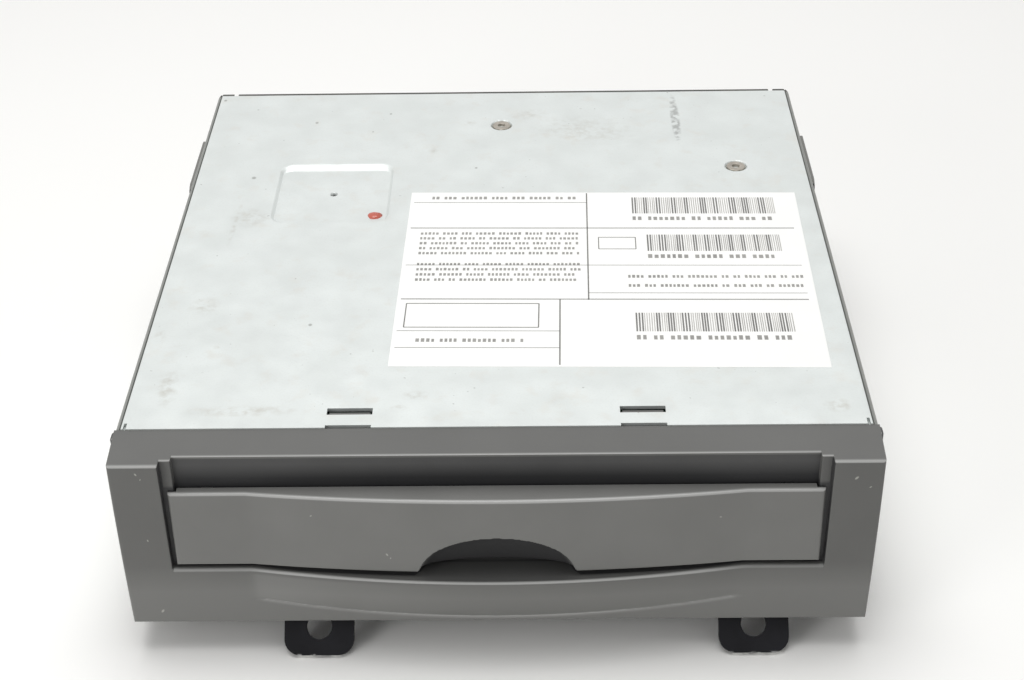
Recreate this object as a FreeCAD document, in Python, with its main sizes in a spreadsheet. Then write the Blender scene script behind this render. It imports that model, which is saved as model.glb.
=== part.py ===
import FreeCAD, Part
import Sketcher
import math
import os
from FreeCAD import Rotation, Vector

os.makedirs("parts", exist_ok=True)
doc = FreeCAD.newDocument("disc_drive")
sheet = doc.addObject("Spreadsheet::Sheet", "dims")

# Lengths are in millimetres and angles in degrees.
# Across is along X, depth runs back from the fascia's flat front, drops run down from its top.
DRIVING = {
    # steel case
    "case_width": 178,
    "case_depth": 172.9,
    "cover_proud": 0.3,
    "steel": 1.0,
    "bend_radius": 1.7,
    "cover_flange": 16,
    "vent_width": 3,
    "vent_pitch": 12,
    "vent_front": 96,
    "vent_rear": 132,
    "wall_slot_front": 60,
    "wall_slot_pitch": 16,
    "wall_slot_length": 8,
    "wall_slot_tall": 2.5,
    "wall_slot_rise": 20,
    "panel_slot_length": 10,
    "panel_slot_tall": 2,
    "panel_slot_pitch": 14,
    "panel_slot_step": 5,
    # plastic fascia
    "fascia_inset": 0.8,
    "fascia_flare": 0.6,
    "fascia_height": 47.9,
    "fascia_depth": 13.8,
    "fascia_wall": 2.2,
    "floor_gap": 9.6,
    "edge_round": 0.8,
    "lug_out": 0.7,
    "lug_depth": 3.8,
    "lug_height": 4,
    "lug_drop": 0.2,
    "tongue_reach": 7,
    "tongue_tall": 12,
    "snap_side_gap": 0.5,
    "snap_gap": 0.2,
    "snap_thick": 1.3,
    "snap_sunk": 0.45,
    # door recess in the fascia
    "pillar_width": 11.2,
    "aperture_drop": 31.2,
    "rail_width": 2.7,
    "rail_setback": 2.15,
    "recess_depth": 3.6,
    "recess_wall": 2.0,
    "lip_bulge": 5.9,
    "chin_end_drop": 9.1,
    "chin_mid_drop": 15.6,
    "bulge_half": 58,
    # dust door
    "door_side_gap": 1.5,
    "door_top_drop": 8.9,
    "door_height": 21.0,
    "door_edge_thick": 1.85,
    "door_thick": 3.3,
    "door_bulge": 3.6,
    "scoop_half": 18,
    "scoop_height": 10.3,
    "scoop_depth": 5.2,
    "hook_in": 10,
    "hook_width": 2.4,
    "hook_tall": 3.2,
    "hook_head": 5.2,
    "hook_plate": 1.2,
    "slide_gap": 0.3,
    # disc slot and eject button
    "slot_width": 122,
    "slot_height": 6,
    "slot_drop": 26.2,
    "slot_lip": 1.4,
    "slot_throat": 9,
    "felt_thick": 0.7,
    "eject_gap": 6,
    "eject_width": 7,
    "eject_height": 4.4,
    "eject_travel": 0.8,
    "eject_rest_gap": 0.6,
    "button_flange": 0.8,
    "switch_tall": 1.4,
    "button_gap": 0.35,
    # disc and the mechanism round it
    "disc_thick": 1.2,
    "spindle_y": 80,
    "turntable_radius": 15,
    "turntable_thick": 2,
    "hub_radius": 7.2,
    "hub_height": 2,
    "clamper_radius": 14,
    "clamper_tall": 3.1,
    "clamper_neck": 5,
    "clamper_flange": 9,
    "spindle_radius": 1.5,
    "spindle_motor_radius": 12,
    "spindle_motor_tall": 13.2,
    "pin_radius": 1.5,
    "running_gap": 0.05,
    "arm_thick": 1.2,
    "arm_float": 1.2,
    "arm_half": 17,
    "clamp_pin_y": 150,
    "clamp_open": 5,
    "slider_travel": 8,
    "cam_pin_reach": 30,
    "cam_pin_radius": 1.2,
    # drive frame
    "frame_side_gap": 20,
    "frame_sheet": 1.2,
    "frame_drop": 13,
    "frame_front": 20,
    "frame_rear": 165,
    "frame_side_rise": 10,
    "roller_y": 30,
    "roller_radius": 4.1,
    "roller_waist": 3.1,
    "roller_end_gap": 7,
    "gear_module": 0.8,
    "roller_teeth": 24,
    "small_teeth": 10,
    "large_teeth": 26,
    "pinion_teeth": 8,
    "gear_width": 2.5,
    "motor_radius": 6,
    "motor_length": 20,
    # optical pickup
    "rod_x": 26,
    "rod_rise": 6.5,
    "rod_radius": 1.5,
    "sled_start": 25,
    "sled_travel": 33,
    "sled_half_depth": 10,
    "lens_radius": 2.2,
    "screw_x": 34,
    "screw_rise": 1.1,
    "journal_radius": 1.2,
    "plate_half": 42,
    "plate_thick": 2,
    "stepper_radius": 4.2,
    # boards
    "board_drop": 6.8,
    "board_thick": 1.6,
    "board_side_gap": 3,
    "post_side_in": 7.5,
    "post_front": 27,
    "post_in": 11.7,
    "post_radius": 2.5,
    # pressed square and processor
    "press_x": -47.6,
    "press_y": 124.8,
    "press_width": 32.5,
    "press_deep": 34,
    "press_depth": 1.0,
    "press_corner": 4,
    "chip_width": 28,
    "chip_thick": 2.2,
    "memory_width": 22,
    "memory_deep": 10,
    "memory_thick": 1.2,
    "memory_pitch": 24,
    "memory_step": 16,
    "memory_y": 70,
    "shield_x": 45,
    "shield_y": 152,
    "shield_width": 40,
    "shield_deep": 30,
    "shield_tall": 4,
    "capacitor_x": 18,
    "capacitor_pitch": 12,
    "capacitor_in": 22.7,
    "capacitor_radius": 4,
    "capacitor_tall": 8,
    "gyro_side_in": 17,
    "gyro_y": 70,
    "gyro_width": 20,
    "gyro_deep": 18,
    "gyro_tall": 6,
    "drive_board_half": 60,
    "drive_board_front": 72,
    "ribbon_width": 24,
    "ribbon_thick": 0.3,
    # cover slots, notches, screws and label
    "slot_x": 34.6,
    "cover_slot_width": 10.8,
    "cover_slot_deep": 2.5,
    "cover_slot_y": 20.05,
    "notch_deep": 0.9,
    "relief_deep": 2.2,
    "screw_a_x": -0.2,
    "screw_a_y": 164.2,
    "screw_b_x": 68,
    "screw_b_y": 137.5,
    "screw_head": 3,
    "screw_shank": 1.5,
    "label_x": 28.1,
    "label_y": 79.9,
    "label_width": 108.2,
    "label_deep": 85.2,
    "label_thick": 0.14,
    "label_turn": -1.04,
    # mounting bracket
    "bracket_steel": 1.4,
    "ear_gap": 0.1,
    "ear_front": 132,
    "ear_rear": 163,
    "ear_top_drop": 2.8,
    "ear_corner": 3,
    "tab_width": 17,
    "tab_ahead": 2.1,
    "tab_angle": 45,
    "tab_spacing": 106,
    "tab_offset": 9,
    "tab_hole": 3.1,
    "tab_hole_up": 7,
    "tab_corner": 4,
    "foot_reach": 13,
    "foot_hole_in": 7,
    "band_front": 14,
    "band_rear_in": 12.7,
    "band_width": 14,
    # sockets at the back
    "socket_out": 4,
    "socket_wall": 1.3,
    "socket_deep": 9,
    "pin_recess": 4.3,
    "main_socket_x": -50,
    "main_socket_width": 42,
    "aux_socket_x": -12,
    "aux_socket_width": 18,
    "socket_tall": 9.6,
    "jack_x": 20,
    "jack_radius": 4.6,
    "jack_bore": 3.2,
    "fibre_x": 46,
    "fibre_width": 15,
}


class Size:
    """A length or an angle: its number now, and the sheet expression that gives it."""

    def __init__(self, value, text):
        self.value = float(value)
        self.text = text

    def __add__(self, other):
        other = as_size(other)
        return Size(self.value + other.value, f"({self.text} + {other.text})")

    def __radd__(self, other):
        return as_size(other) + self

    def __sub__(self, other):
        other = as_size(other)
        return Size(self.value - other.value, f"({self.text} - {other.text})")

    def __rsub__(self, other):
        return as_size(other) - self

    def __mul__(self, other):
        other = as_size(other)
        return Size(self.value * other.value, f"({self.text} * {other.text})")

    def __rmul__(self, other):
        return as_size(other) * self

    def __truediv__(self, other):
        other = as_size(other)
        return Size(self.value / other.value, f"({self.text} / {other.text})")

    def __neg__(self):
        return 0 - self


def as_size(number):
    """A plain number as a Size."""
    if isinstance(number, Size):
        return number
    return Size(number, f"({float(number)!r})")


def sine(angle):
    return Size(math.sin(math.radians(angle.value)), f"sin({angle.text})")


def cosine(angle):
    return Size(math.cos(math.radians(angle.value)), f"cos({angle.text})")


class Sizes:
    """The driving dimensions by name, each a cell of the sheet."""

    def __init__(self, table):
        for row, (name, number) in enumerate(table.items(), start=1):
            sheet.set(f"A{row}", name)
            sheet.set(f"B{row}", str(number))
            sheet.setAlias(f"B{row}", name)
            setattr(self, name, Size(number, f"dims.{name}"))


d = Sizes(DRIVING)
doc.recompute()


def bind(obj, **sizes):
    """Ties properties of an object to sheet expressions."""
    for name, size in sizes.items():
        setattr(obj, name, as_size(size).value)
        obj.setExpression(name, as_size(size).text)
    return obj


def put(obj, x=0, y=0, z=0, turn=None):
    """Places an object; turn is a rotation about its own origin."""
    if turn is not None:
        obj.Placement.Rotation = turn
    for axis, size in zip("xyz", (x, y, z)):
        obj.setExpression(f"Placement.Base.{axis}", as_size(size).text)
    return obj


def box(x0, x1, y0, y1, z0, z1):
    """A block between two corners."""
    block = doc.addObject("Part::Box", "block")
    bind(block, Length=x1 - as_size(x0), Width=y1 - as_size(y0), Height=z1 - as_size(z0))
    return put(block, x0, y0, z0)


FACING = {
    "x": Rotation(Vector(0, 1, 0), 90),
    "y": Rotation(Vector(1, 0, 0), -90),
    "z": Rotation(),
}


def rod(axis, radius, start, end, x=0, y=0, z=0):
    """A round rod along x, y or z from start to end; the other two places are given."""
    bar = doc.addObject("Part::Cylinder", "rod")
    bind(bar, Radius=radius, Height=end - as_size(start))
    spot = {"x": x, "y": y, "z": z}
    spot[axis] = start
    return put(bar, turn=FACING[axis], **spot)


def fuse(*shapes):
    joined = doc.addObject("Part::MultiFuse", "joined")
    joined.Shapes = list(shapes)
    joined.Refine = True
    return joined


def cut(base, *tools):
    """The base with every tool taken away."""
    taken = doc.addObject("Part::Cut", "cut")
    taken.Base = base
    taken.Tool = tools[0] if len(tools) == 1 else bundle(*tools)
    taken.Refine = True
    return taken


def bundle(*solids):
    """A group that holds its solids apart and has a place of its own."""
    group = doc.addObject("Part::Compound", "bundle")
    group.Links = list(solids)
    return group


def rounded_box(x, y, width, deep, z0, z1, corner):
    """An upright block with rounded corners, centred at x, y."""
    block = box(x - width / 2, x + width / 2, y - deep / 2, y + deep / 2, z0, z1)
    doc.recompute()
    return round_edges(block, corner, upright)


def upright(edge):
    """True for an edge along Z."""
    return edge.Length > 0 and abs(abs(edge.tangentAt(edge.FirstParameter).z) - 1) < 1e-6


def round_edges(solid, radius, chosen):
    """Rounds the edges of a solid that a test picks."""
    smooth = doc.addObject("Part::Fillet", "rounded")
    smooth.Base = solid
    size = as_size(radius).value
    smooth.Edges = [(i, size, size) for i, edge in enumerate(solid.Shape.Edges, 1) if chosen(edge)]
    return smooth


# Sketch helpers: every corner is held by two distances from the sketch's origin.

def sketch_on(body, role, name, lift=0):
    """A sketch on one of the body's own origin planes, lifted along its normal."""
    plane = next(f for f in body.Origin.OriginFeatures if f.Role == role)
    drawing = body.newObject("Sketcher::SketchObject", name)
    drawing.AttachmentSupport = [(plane, "")]
    drawing.MapMode = "FlatFace"
    drawing.setExpression("AttachmentOffset.Base.z", as_size(lift).text)
    return drawing


def hold(drawing, element, point, u, v):
    """Fixes a point of a sketch element at u, v."""
    for kind, size in (("DistanceX", as_size(u)), ("DistanceY", as_size(v))):
        index = drawing.addConstraint(Sketcher.Constraint(kind, -1, 1, element, point, size.value))
        drawing.setExpression(f"Constraints[{index}]", size.text)


def outline(drawing, corners):
    """A closed outline of straight edges through the corners."""
    points = [Vector(as_size(u).value, as_size(v).value, 0) for u, v in corners]
    first = drawing.GeometryCount
    count = len(points)
    for i in range(count):
        drawing.addGeometry(Part.LineSegment(points[i], points[(i + 1) % count]), False)
    for i in range(count):
        after = first + (i + 1) % count
        drawing.addConstraint(Sketcher.Constraint("Coincident", first + i, 2, after, 1))
    for i, (u, v) in enumerate(corners):
        hold(drawing, first + i, 1, u, v)


def rounded_outline(drawing, low_u, high_u, low_v, high_v, radius):
    """A closed rectangle with rounded corners: straight sides held at both ends, arcs between them."""
    near_u, far_u = low_u + radius, high_u - radius
    near_v, far_v = low_v + radius, high_v - radius
    sides = [
        ((near_u, low_v), (far_u, low_v)), ((high_u, near_v), (high_u, far_v)),
        ((far_u, high_v), (near_u, high_v)), ((low_u, far_v), (low_u, near_v)),
    ]
    centres = [(far_u, near_v), (far_u, far_v), (near_u, far_v), (near_u, near_v)]
    for side in sides:
        ends = [Vector(u.value, v.value, 0) for u, v in side]
        drawing.addGeometry(Part.LineSegment(*ends), False)
    for i, (u, v) in enumerate(centres):
        full = Part.Circle(Vector(u.value, v.value, 0), Vector(0, 0, 1), radius.value)
        start = math.radians(90 * i - 90)
        drawing.addGeometry(Part.ArcOfCircle(full, start, start + math.pi / 2), False)
    for i, side in enumerate(sides):
        arc = 4 + i
        drawing.addConstraint(Sketcher.Constraint("Coincident", i, 2, arc, 1))
        drawing.addConstraint(Sketcher.Constraint("Coincident", arc, 2, (i + 1) % 4, 1))
        index = drawing.addConstraint(Sketcher.Constraint("Radius", arc, radius.value))
        drawing.setExpression(f"Constraints[{index}]", radius.text)
        hold(drawing, i, 1, *side[0])
        hold(drawing, i, 2, *side[1])


def circle(drawing, u, v, radius):
    size = as_size(radius)
    middle = Vector(as_size(u).value, as_size(v).value, 0)
    element = drawing.addGeometry(Part.Circle(middle, Vector(0, 0, 1), size.value), False)
    index = drawing.addConstraint(Sketcher.Constraint("Radius", element, size.value))
    drawing.setExpression(f"Constraints[{index}]", size.text)
    hold(drawing, element, 3, u, v)


def new_body(name):
    return doc.addObject("PartDesign::Body", name)


def pad(body, drawing, length, back=False):
    grown = body.newObject("PartDesign::Pad", "pad")
    grown.Profile = drawing
    grown.Reversed = back
    bind(grown, Length=length)
    drawing.Visibility = False
    return grown


def turned(name, profile):
    """A turned body: its half profile, as radius and height, revolved about its own Z axis."""
    body = new_body(name)
    drawing = sketch_on(body, "XZ_Plane", "profile")
    outline(drawing, profile)
    lathe = body.newObject("PartDesign::Revolution", "turning")
    lathe.Profile = drawing
    lathe.ReferenceAxis = (drawing, ["V_Axis"])
    lathe.Angle = 360
    return body


def padded(name, role, corners, length, lift=0, back=False):
    """A body made by one pad of a straight-edged outline."""
    body = new_body(name)
    drawing = sketch_on(body, role, "outline", lift)
    outline(drawing, corners)
    pad(body, drawing, length, back)
    return body


# Levels and depths that several pieces share.
fascia_top = d.floor_gap + d.fascia_height
cover_top = fascia_top + d.cover_proud
case_floor = d.floor_gap
inner_floor = case_floor + d.steel
inner_roof = cover_top - d.steel
case_front = d.fascia_depth
case_back = d.fascia_depth + d.case_depth
case_half = d.case_width / 2
wall_outer = case_half - d.steel
wall_inner = wall_outer - d.steel
panel_front = case_back - d.steel
fascia_half = case_half - d.fascia_inset
rail_half = fascia_half - d.pillar_width
throat_half = d.slot_width / 2 + d.slot_lip
eject_x = throat_half + d.eject_gap
frame_half = wall_inner - d.frame_side_gap
slot_z = fascia_top - d.slot_drop
disc_z = slot_z - d.disc_thick / 2
frame_z = disc_z - d.frame_drop
frame_top = frame_z + d.frame_sheet
board_z = inner_roof - d.board_drop
board_top = board_z + d.board_thick
whole_front = -d.lip_bulge
whole_back = case_back + d.foot_reach
face_y = -(whole_front + whole_back) / 2
NODES = []


def node(name, solid, x=0, y=0, z=0, turn=None):
    """Files a finished piece under its name. Depths count from the fascia's front plane."""
    if solid.TypeId in ("Part::Box", "Part::Cylinder"):
        solid = bundle(solid)
    solid.Label = name
    put(solid, x, face_y + y, z, turn)
    NODES.append((name, solid))
    return solid


def group_node(name, model, places):
    """Several like pieces as one group of separate solids, each moved and turned to its place."""
    doc.recompute()
    copies = []
    for x, y, z, turn in places:
        copy = model.Shape.copy()
        spot = Vector(as_size(x).value, as_size(face_y + y).value, as_size(z).value)
        copy.Placement = FreeCAD.Placement(spot, turn).multiply(copy.Placement)
        copies.append(copy)
    group = doc.addObject("Part::Feature", name)
    group.Shape = Part.makeCompound(copies)
    group.Label = name
    NODES.append((name, group))
    return group


# Top cover: flat plate with two side flanges, bent at small radii.
def top_cover():
    flange_foot = cover_top - d.cover_flange
    shell = padded(
        "cover_sheet", "XZ_Plane",
        [
            (-case_half, flange_foot), (-wall_outer, flange_foot), (-wall_outer, inner_roof),
            (wall_outer, inner_roof), (wall_outer, flange_foot), (case_half, flange_foot),
            (case_half, cover_top), (-case_half, cover_top),
        ],
        d.case_depth, lift=-case_front, back=True,
    )
    doc.recompute()
    sheet_bent = round_edges(shell, d.bend_radius, cover_bend)
    dish = rounded_box(
        d.press_x, d.press_y, d.press_width + 2 * d.steel, d.press_deep + 2 * d.steel,
        inner_roof - d.press_depth, inner_roof, d.press_corner + d.steel,
    )
    hollow = rounded_box(
        d.press_x, d.press_y, d.press_width, d.press_deep,
        cover_top - d.press_depth, cover_top + 1, d.press_corner,
    )
    tools = [hollow, rod("z", 1.0, inner_roof - 3, cover_top + 1, d.press_x, d.press_y)]
    half_slot = d.cover_slot_width / 2
    for side in (-1, 1):
        middle = side * d.slot_x
        slot_front = d.cover_slot_y - d.cover_slot_deep / 2
        slot_back = d.cover_slot_y + d.cover_slot_deep / 2
        tools.append(box(middle - half_slot, middle + half_slot, slot_front, slot_back,
                         inner_roof - 1, cover_top + 1))
        tools.append(box(middle - half_slot, middle + half_slot, case_front - 1,
                         case_front + d.notch_deep, inner_roof - 1, cover_top + 1))
        bend_in = side * (case_half - 2.4)
        bend_out = side * (case_half + 1)
        low = bend_in if side > 0 else bend_out
        high = bend_out if side > 0 else bend_in
        tools.append(box(low, high, case_front - 1, case_front + d.relief_deep,
                         cover_top - 3, cover_top + 1))
        tools.append(rod("z", 0.8, inner_roof - 1, cover_top + 1, side * (case_half - 5.4), case_back))
    for x, y in screw_places():
        tools.append(rod("z", d.screw_shank + 0.1, inner_roof - 1, cover_top + 1, x, y))
        sink = doc.addObject("Part::Cone", "countersink")
        bind(sink, Radius1=d.screw_shank + 0.1, Radius2=d.screw_head + 0.1, Height=d.steel * 0.8)
        tools.append(put(sink, x, y, cover_top - d.steel * 0.8))
    return node("top_cover", cut(fuse(sheet_bent, dish), *tools))


def cover_bend(edge):
    """The two long upper outer edges of the cover."""
    middle = edge.CenterOfMass
    outer = abs(abs(middle.x) - case_half.value) < 0.01
    return outer and abs(middle.z - cover_top.value) < 0.01 and edge.Length > 20


def screw_places():
    return ((d.screw_a_x, d.screw_a_y), (d.screw_b_x, d.screw_b_y))


# Screws: a flat countersunk pattern for the cover and a round-headed one elsewhere.
def flat_screw():
    """Flat head flush with z = 0, cross recess cut in."""
    head_deep = d.steel * 0.8
    blank = turned("flat_screw_blank", [
        (0, -5), (d.screw_shank, -5), (d.screw_shank, -head_deep),
        (d.screw_head, 0), (0, 0),
    ])
    return cut(blank, *cross_recess(0, 0.6))


def pan_screw(head, shank, length, head_tall):
    """Round head that stands on z = 0, cross recess cut in."""
    blank = turned("pan_screw_blank", [
        (0, -length), (shank, -length), (shank, 0), (head, 0),
        (head, head_tall * 0.55), (head * 0.62, head_tall), (0, head_tall),
    ])
    return cut(blank, *cross_recess(head_tall, head_tall * 0.6))


def cross_recess(level, deep):
    arm = d.screw_head * 0.6
    thin = 0.35
    return (
        box(-arm, arm, -thin, thin, level - as_size(deep), level + as_size(1)),
        box(-thin, as_size(thin), -arm, arm, level - as_size(deep), level + as_size(1)),
    )


UP = Rotation()
TO_BACK = Rotation(Vector(1, 0, 0), -90)
TO_RIGHT = Rotation(Vector(0, 1, 0), 90)
TO_LEFT = Rotation(Vector(0, 1, 0), -90)


# Chassis tray: floor and two side walls, with posts for the dampers, the boards and the standoffs.
damper_x = frame_half + d.frame_sheet + 6
DAMPER_Y = (75, 150)
post_top = frame_z - 2.8


def chassis():
    walls = [
        box(-wall_outer, -wall_inner, case_front, panel_front, case_floor, inner_roof),
        box(wall_inner, wall_outer, case_front, panel_front, case_floor, inner_roof),
    ]
    floor = box(-wall_outer, wall_outer, case_front, case_back, case_floor, inner_floor)
    front = box(-wall_outer + 8, wall_outer - 8, case_front, case_front + d.steel,
                case_floor, case_floor + 12)
    posts = []
    holes = []
    for side in (-1, 1):
        for y in DAMPER_Y:
            posts.append(rod("z", 3, inner_floor, post_top, side * damper_x, y))
            holes.append(rod("z", 1.2, inner_floor, post_top + 1, side * damper_x, y))
        for y in (d.drive_board_front + 6, servo_rear - 8):
            posts.append(rod("z", 2.2, inner_floor, servo_board_z, side * 52, y))
        # windows that take the fascia's tongues
        low, high = side_span(side, wall_inner - 1, wall_outer + 1)
        mid = case_floor + d.fascia_height / 2
        window_back = case_front + d.tongue_reach - 1
        holes.append(box(low, high, window_back - 3, window_back, mid - 3.5, mid + 3.5))
        slot_foot = case_floor + d.wall_slot_rise
        for i in range(4):
            slot_front = d.wall_slot_front + d.wall_slot_pitch * i
            holes.append(box(low, high, slot_front, slot_front + d.wall_slot_length,
                             slot_foot, slot_foot + d.wall_slot_tall))
        holes.append(rod("x", 1.5, low, high, y=ear_hole_y, z=ear_hole_z))
    for i in range(7):
        slot_left = d.vent_pitch * (i - 3) - d.vent_width / 2
        holes.append(box(slot_left, slot_left + d.vent_width, d.vent_front, d.vent_rear,
                         case_floor - 1, inner_floor + 1))
    return node("chassis", cut(fuse(floor, front, *walls, *posts), *holes))


def side_span(side, inner, outer):
    """Low and high ends of a stretch on the right (1) or left (-1) side."""
    if side > 0:
        return as_size(inner), as_size(outer)
    return -as_size(outer), -as_size(inner)


servo_board_z = inner_floor + 2.3
ear_outer = case_half + d.ear_gap + d.bracket_steel
ear_hole_y = (d.ear_front + d.ear_rear) / 2
ear_hole_z = cover_top - d.cover_flange - 6


# Rear panel: plate with windows for the sockets and a field of vent slots.
socket_top = board_z
socket_foot = board_z - d.socket_tall


def rear_panel():
    plate = box(-wall_inner, wall_inner, panel_front, case_back, inner_floor, inner_roof)
    windows = []
    for x, width in socket_spans():
        windows.append(box(x - width / 2 - 0.3, x + width / 2 + 0.3, panel_front - 1, case_back + 1,
                           socket_foot - 0.3, socket_top + 0.3))
    windows.append(rod("y", d.jack_radius + 0.3, panel_front - 1, case_back + 1, d.jack_x, z=jack_z))
    for row in range(4):
        for column in range(9):
            left = d.panel_slot_pitch * (column - 4.5) - 1
            low = inner_floor + 4 + d.panel_slot_step * row
            windows.append(box(left, left + d.panel_slot_length, panel_front - 1, case_back + 1,
                               low, low + d.panel_slot_tall))
    for x, z in rear_screw_places():
        windows.append(rod("y", d.screw_shank, panel_front - 1, case_back + 1, x, z=z))
    return node("rear_panel", cut(plate, *windows))


def socket_spans():
    return (
        (d.main_socket_x, d.main_socket_width),
        (d.aux_socket_x, d.aux_socket_width),
        (d.fibre_x, d.fibre_width),
    )


jack_z = board_z - d.jack_radius - 0.4


def rear_screw_places():
    x = wall_inner - 7
    return ((-x, inner_floor + 5), (x, inner_floor + 5), (-x, inner_roof - 14), (x, inner_roof - 14))


# Fascia: drafted plastic shell with the door recess, disc slot, bulged lip and chin, lugs and tongues.
lip_z = fascia_top - d.aperture_drop
recess_half = rail_half - d.rail_width
recess_back = d.recess_depth + d.recess_wall
door_foot = fascia_top - d.door_top_drop - d.door_height
door_head = fascia_top - d.door_top_drop
hook_foot = door_head - d.door_top_drop - d.hook_tall - 0.4
eject_z = slot_z


def fascia_shell():
    """The outer block: a ruled loft from the front outline over the edge's bevel to the wider rear."""
    rear_half = fascia_half + d.fascia_flare
    front_half = fascia_half
    bevel = d.edge_round * 0.6
    body = new_body("fascia_block")
    sections = (
        ("front_outline", 0, front_half - bevel, bevel),
        ("bevel_outline", bevel, front_half, 0),
        ("rear_outline", d.fascia_depth, rear_half, 0),
    )
    drawings = []
    for name, depth, half, inset in sections:
        drawing = sketch_on(body, "XZ_Plane", name, -as_size(depth))
        rounded_outline(drawing, -half, half, case_floor + inset, fascia_top - inset, d.edge_round)
        drawings.append(drawing)
    loft = body.newObject("PartDesign::AdditiveLoft", "draft")
    loft.Profile = drawings[0]
    loft.Sections = drawings[1:]
    loft.Ruled = True
    return body


def bowed_chin():
    """The swelling under the recess: its front is ruled between the lip's arc and the lower crease."""
    half, z_top = d.bulge_half.value, lip_z.value
    top_ends = [Vector(s * half, 0, z_top) for s in (-1, 1)]
    foot_ends = [Vector(s * half, 0, z_top - d.chin_end_drop.value) for s in (-1, 1)]
    top_arc = Part.Arc(top_ends[0], Vector(0, -d.lip_bulge.value, z_top), top_ends[1]).toShape()
    foot_mid = Vector(0, 0, z_top - d.chin_mid_drop.value)
    foot_arc = Part.Arc(foot_ends[0], foot_mid, foot_ends[1]).toShape()
    front = Part.makeRuledSurface(top_arc, foot_arc)
    top = Part.Face(Part.Wire([top_arc, Part.makeLine(top_ends[1], top_ends[0])]))
    sides = [Part.makeLine(top_ends[i], foot_ends[i]) for i in (0, 1)]
    rear = Part.Face(Part.Wire([Part.makeLine(*top_ends), sides[1], foot_arc, sides[0]]))
    faces = [front, top, rear]
    solid = Part.makeSolid(Part.makeShell(faces))
    if solid.Volume < 0:
        solid.reverse()
    root = rear.extrude(Vector(0, d.fascia_wall.value / 2, 0))
    swelling = doc.addObject("Part::Feature", "chin")
    swelling.Shape = solid.fuse(root)
    return swelling


def fascia():
    chin = bowed_chin()
    inner_half = fascia_half - d.fascia_wall
    mid_z = case_floor + d.fascia_height / 2
    throat_tall = d.slot_height / 2 + d.slot_lip
    hollows = [
        box(-rail_half, rail_half, -1, d.rail_setback, lip_z, fascia_top + 1),
        box(-recess_half, recess_half, -1, d.recess_depth, lip_z, fascia_top + 1),
        box(-inner_half, inner_half, recess_back, d.fascia_depth + 1,
            case_floor + d.fascia_wall, fascia_top - d.fascia_wall),
        box(-inner_half + 4, inner_half - 4, d.fascia_wall, d.fascia_depth,
            case_floor + d.fascia_wall, lip_z - d.fascia_wall),
    ]
    for side in (-1, 1):
        low, high = side_span(side, rail_half + 1.6, inner_half)
        hollows.append(box(low, high, d.fascia_wall, d.fascia_depth, lip_z, fascia_top - d.fascia_wall))
    shell = cut(fuse(fascia_shell(), chin), *hollows)
    throat = box(-throat_half, throat_half, recess_back - 0.5, d.recess_depth + d.slot_throat,
                 slot_z - throat_tall, slot_z + throat_tall)
    extras = [throat]
    for side in (-1, 1):
        edge_half = fascia_half + d.fascia_flare
        low, high = side_span(side, edge_half - 1.2, edge_half + d.lug_out)
        lug = box(low, high, d.fascia_depth - d.lug_depth, d.fascia_depth,
                  fascia_top - d.lug_drop - d.lug_height, fascia_top - d.lug_drop)
        extras.append(lug)
        tongue_in = side_span(side, wall_inner - 0.3 - d.fascia_wall, wall_inner - 0.3)
        extras.append(box(*tongue_in, d.fascia_depth - 6, case_front + d.tongue_reach,
                          mid_z - d.tongue_tall / 2, mid_z + d.tongue_tall / 2))
        hook = side_span(side, wall_inner - 0.3, wall_inner + 0.5)
        extras.append(box(*hook, case_front + d.tongue_reach - 3.6, case_front + d.tongue_reach - 1.4,
                          mid_z - 3, mid_z + 3))
        peg = side_span(side, board_post_x - 2, board_post_x + 2)
        extras.append(box(*peg, recess_back - 0.5, front_board_y, slot_z - 2, slot_z + 2))
        extras.extend(snap_arm(side * d.slot_x))
    cuts = [
        box(-d.slot_width / 2, d.slot_width / 2, d.recess_depth - 1,
            d.recess_depth + d.slot_throat + 1, slot_z - d.slot_height / 2, slot_z + d.slot_height / 2),
        box(eject_x - d.eject_width / 2 - d.button_gap, eject_x + d.eject_width / 2 + d.button_gap,
            d.recess_depth - 1, recess_back + 1,
            eject_z - d.eject_height / 2 - d.button_gap, eject_z + d.eject_height / 2 + d.button_gap),
    ]
    for side in (-1, 1):
        near = side * (rail_half - d.hook_in)
        cuts.append(box(near - d.hook_width / 2 - d.slide_gap, near + d.hook_width / 2 + d.slide_gap,
                        d.recess_depth - 1, recess_back + 1, hook_foot - d.slide_gap,
                        hook_foot + d.hook_tall + d.door_top_drop + d.slide_gap))
    return node("fascia", cut(fuse(shell, *extras), *cuts))


def snap_arm(middle):
    """An arm that runs back under the cover's front edge, and its barb that stands in the cover's slot."""
    half = d.cover_slot_width / 2 - d.snap_side_gap
    arm_top = inner_roof - d.snap_gap
    slot_front = d.cover_slot_y - d.cover_slot_deep / 2
    barb_front = slot_front + d.snap_gap
    barb_back = d.cover_slot_y + d.snap_gap
    arm = box(middle - half, middle + half, case_front - 2, barb_back, arm_top - d.snap_thick, arm_top)
    barb = box(middle - half, middle + half, barb_front, barb_back, arm_top - d.snap_thick,
               cover_top - d.snap_sunk)
    return arm, barb


board_post_x = rail_half + 3
flange_back = recess_back + 0.3 + d.button_flange
front_board_y = flange_back + d.eject_rest_gap + d.eject_travel + d.switch_tall


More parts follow.
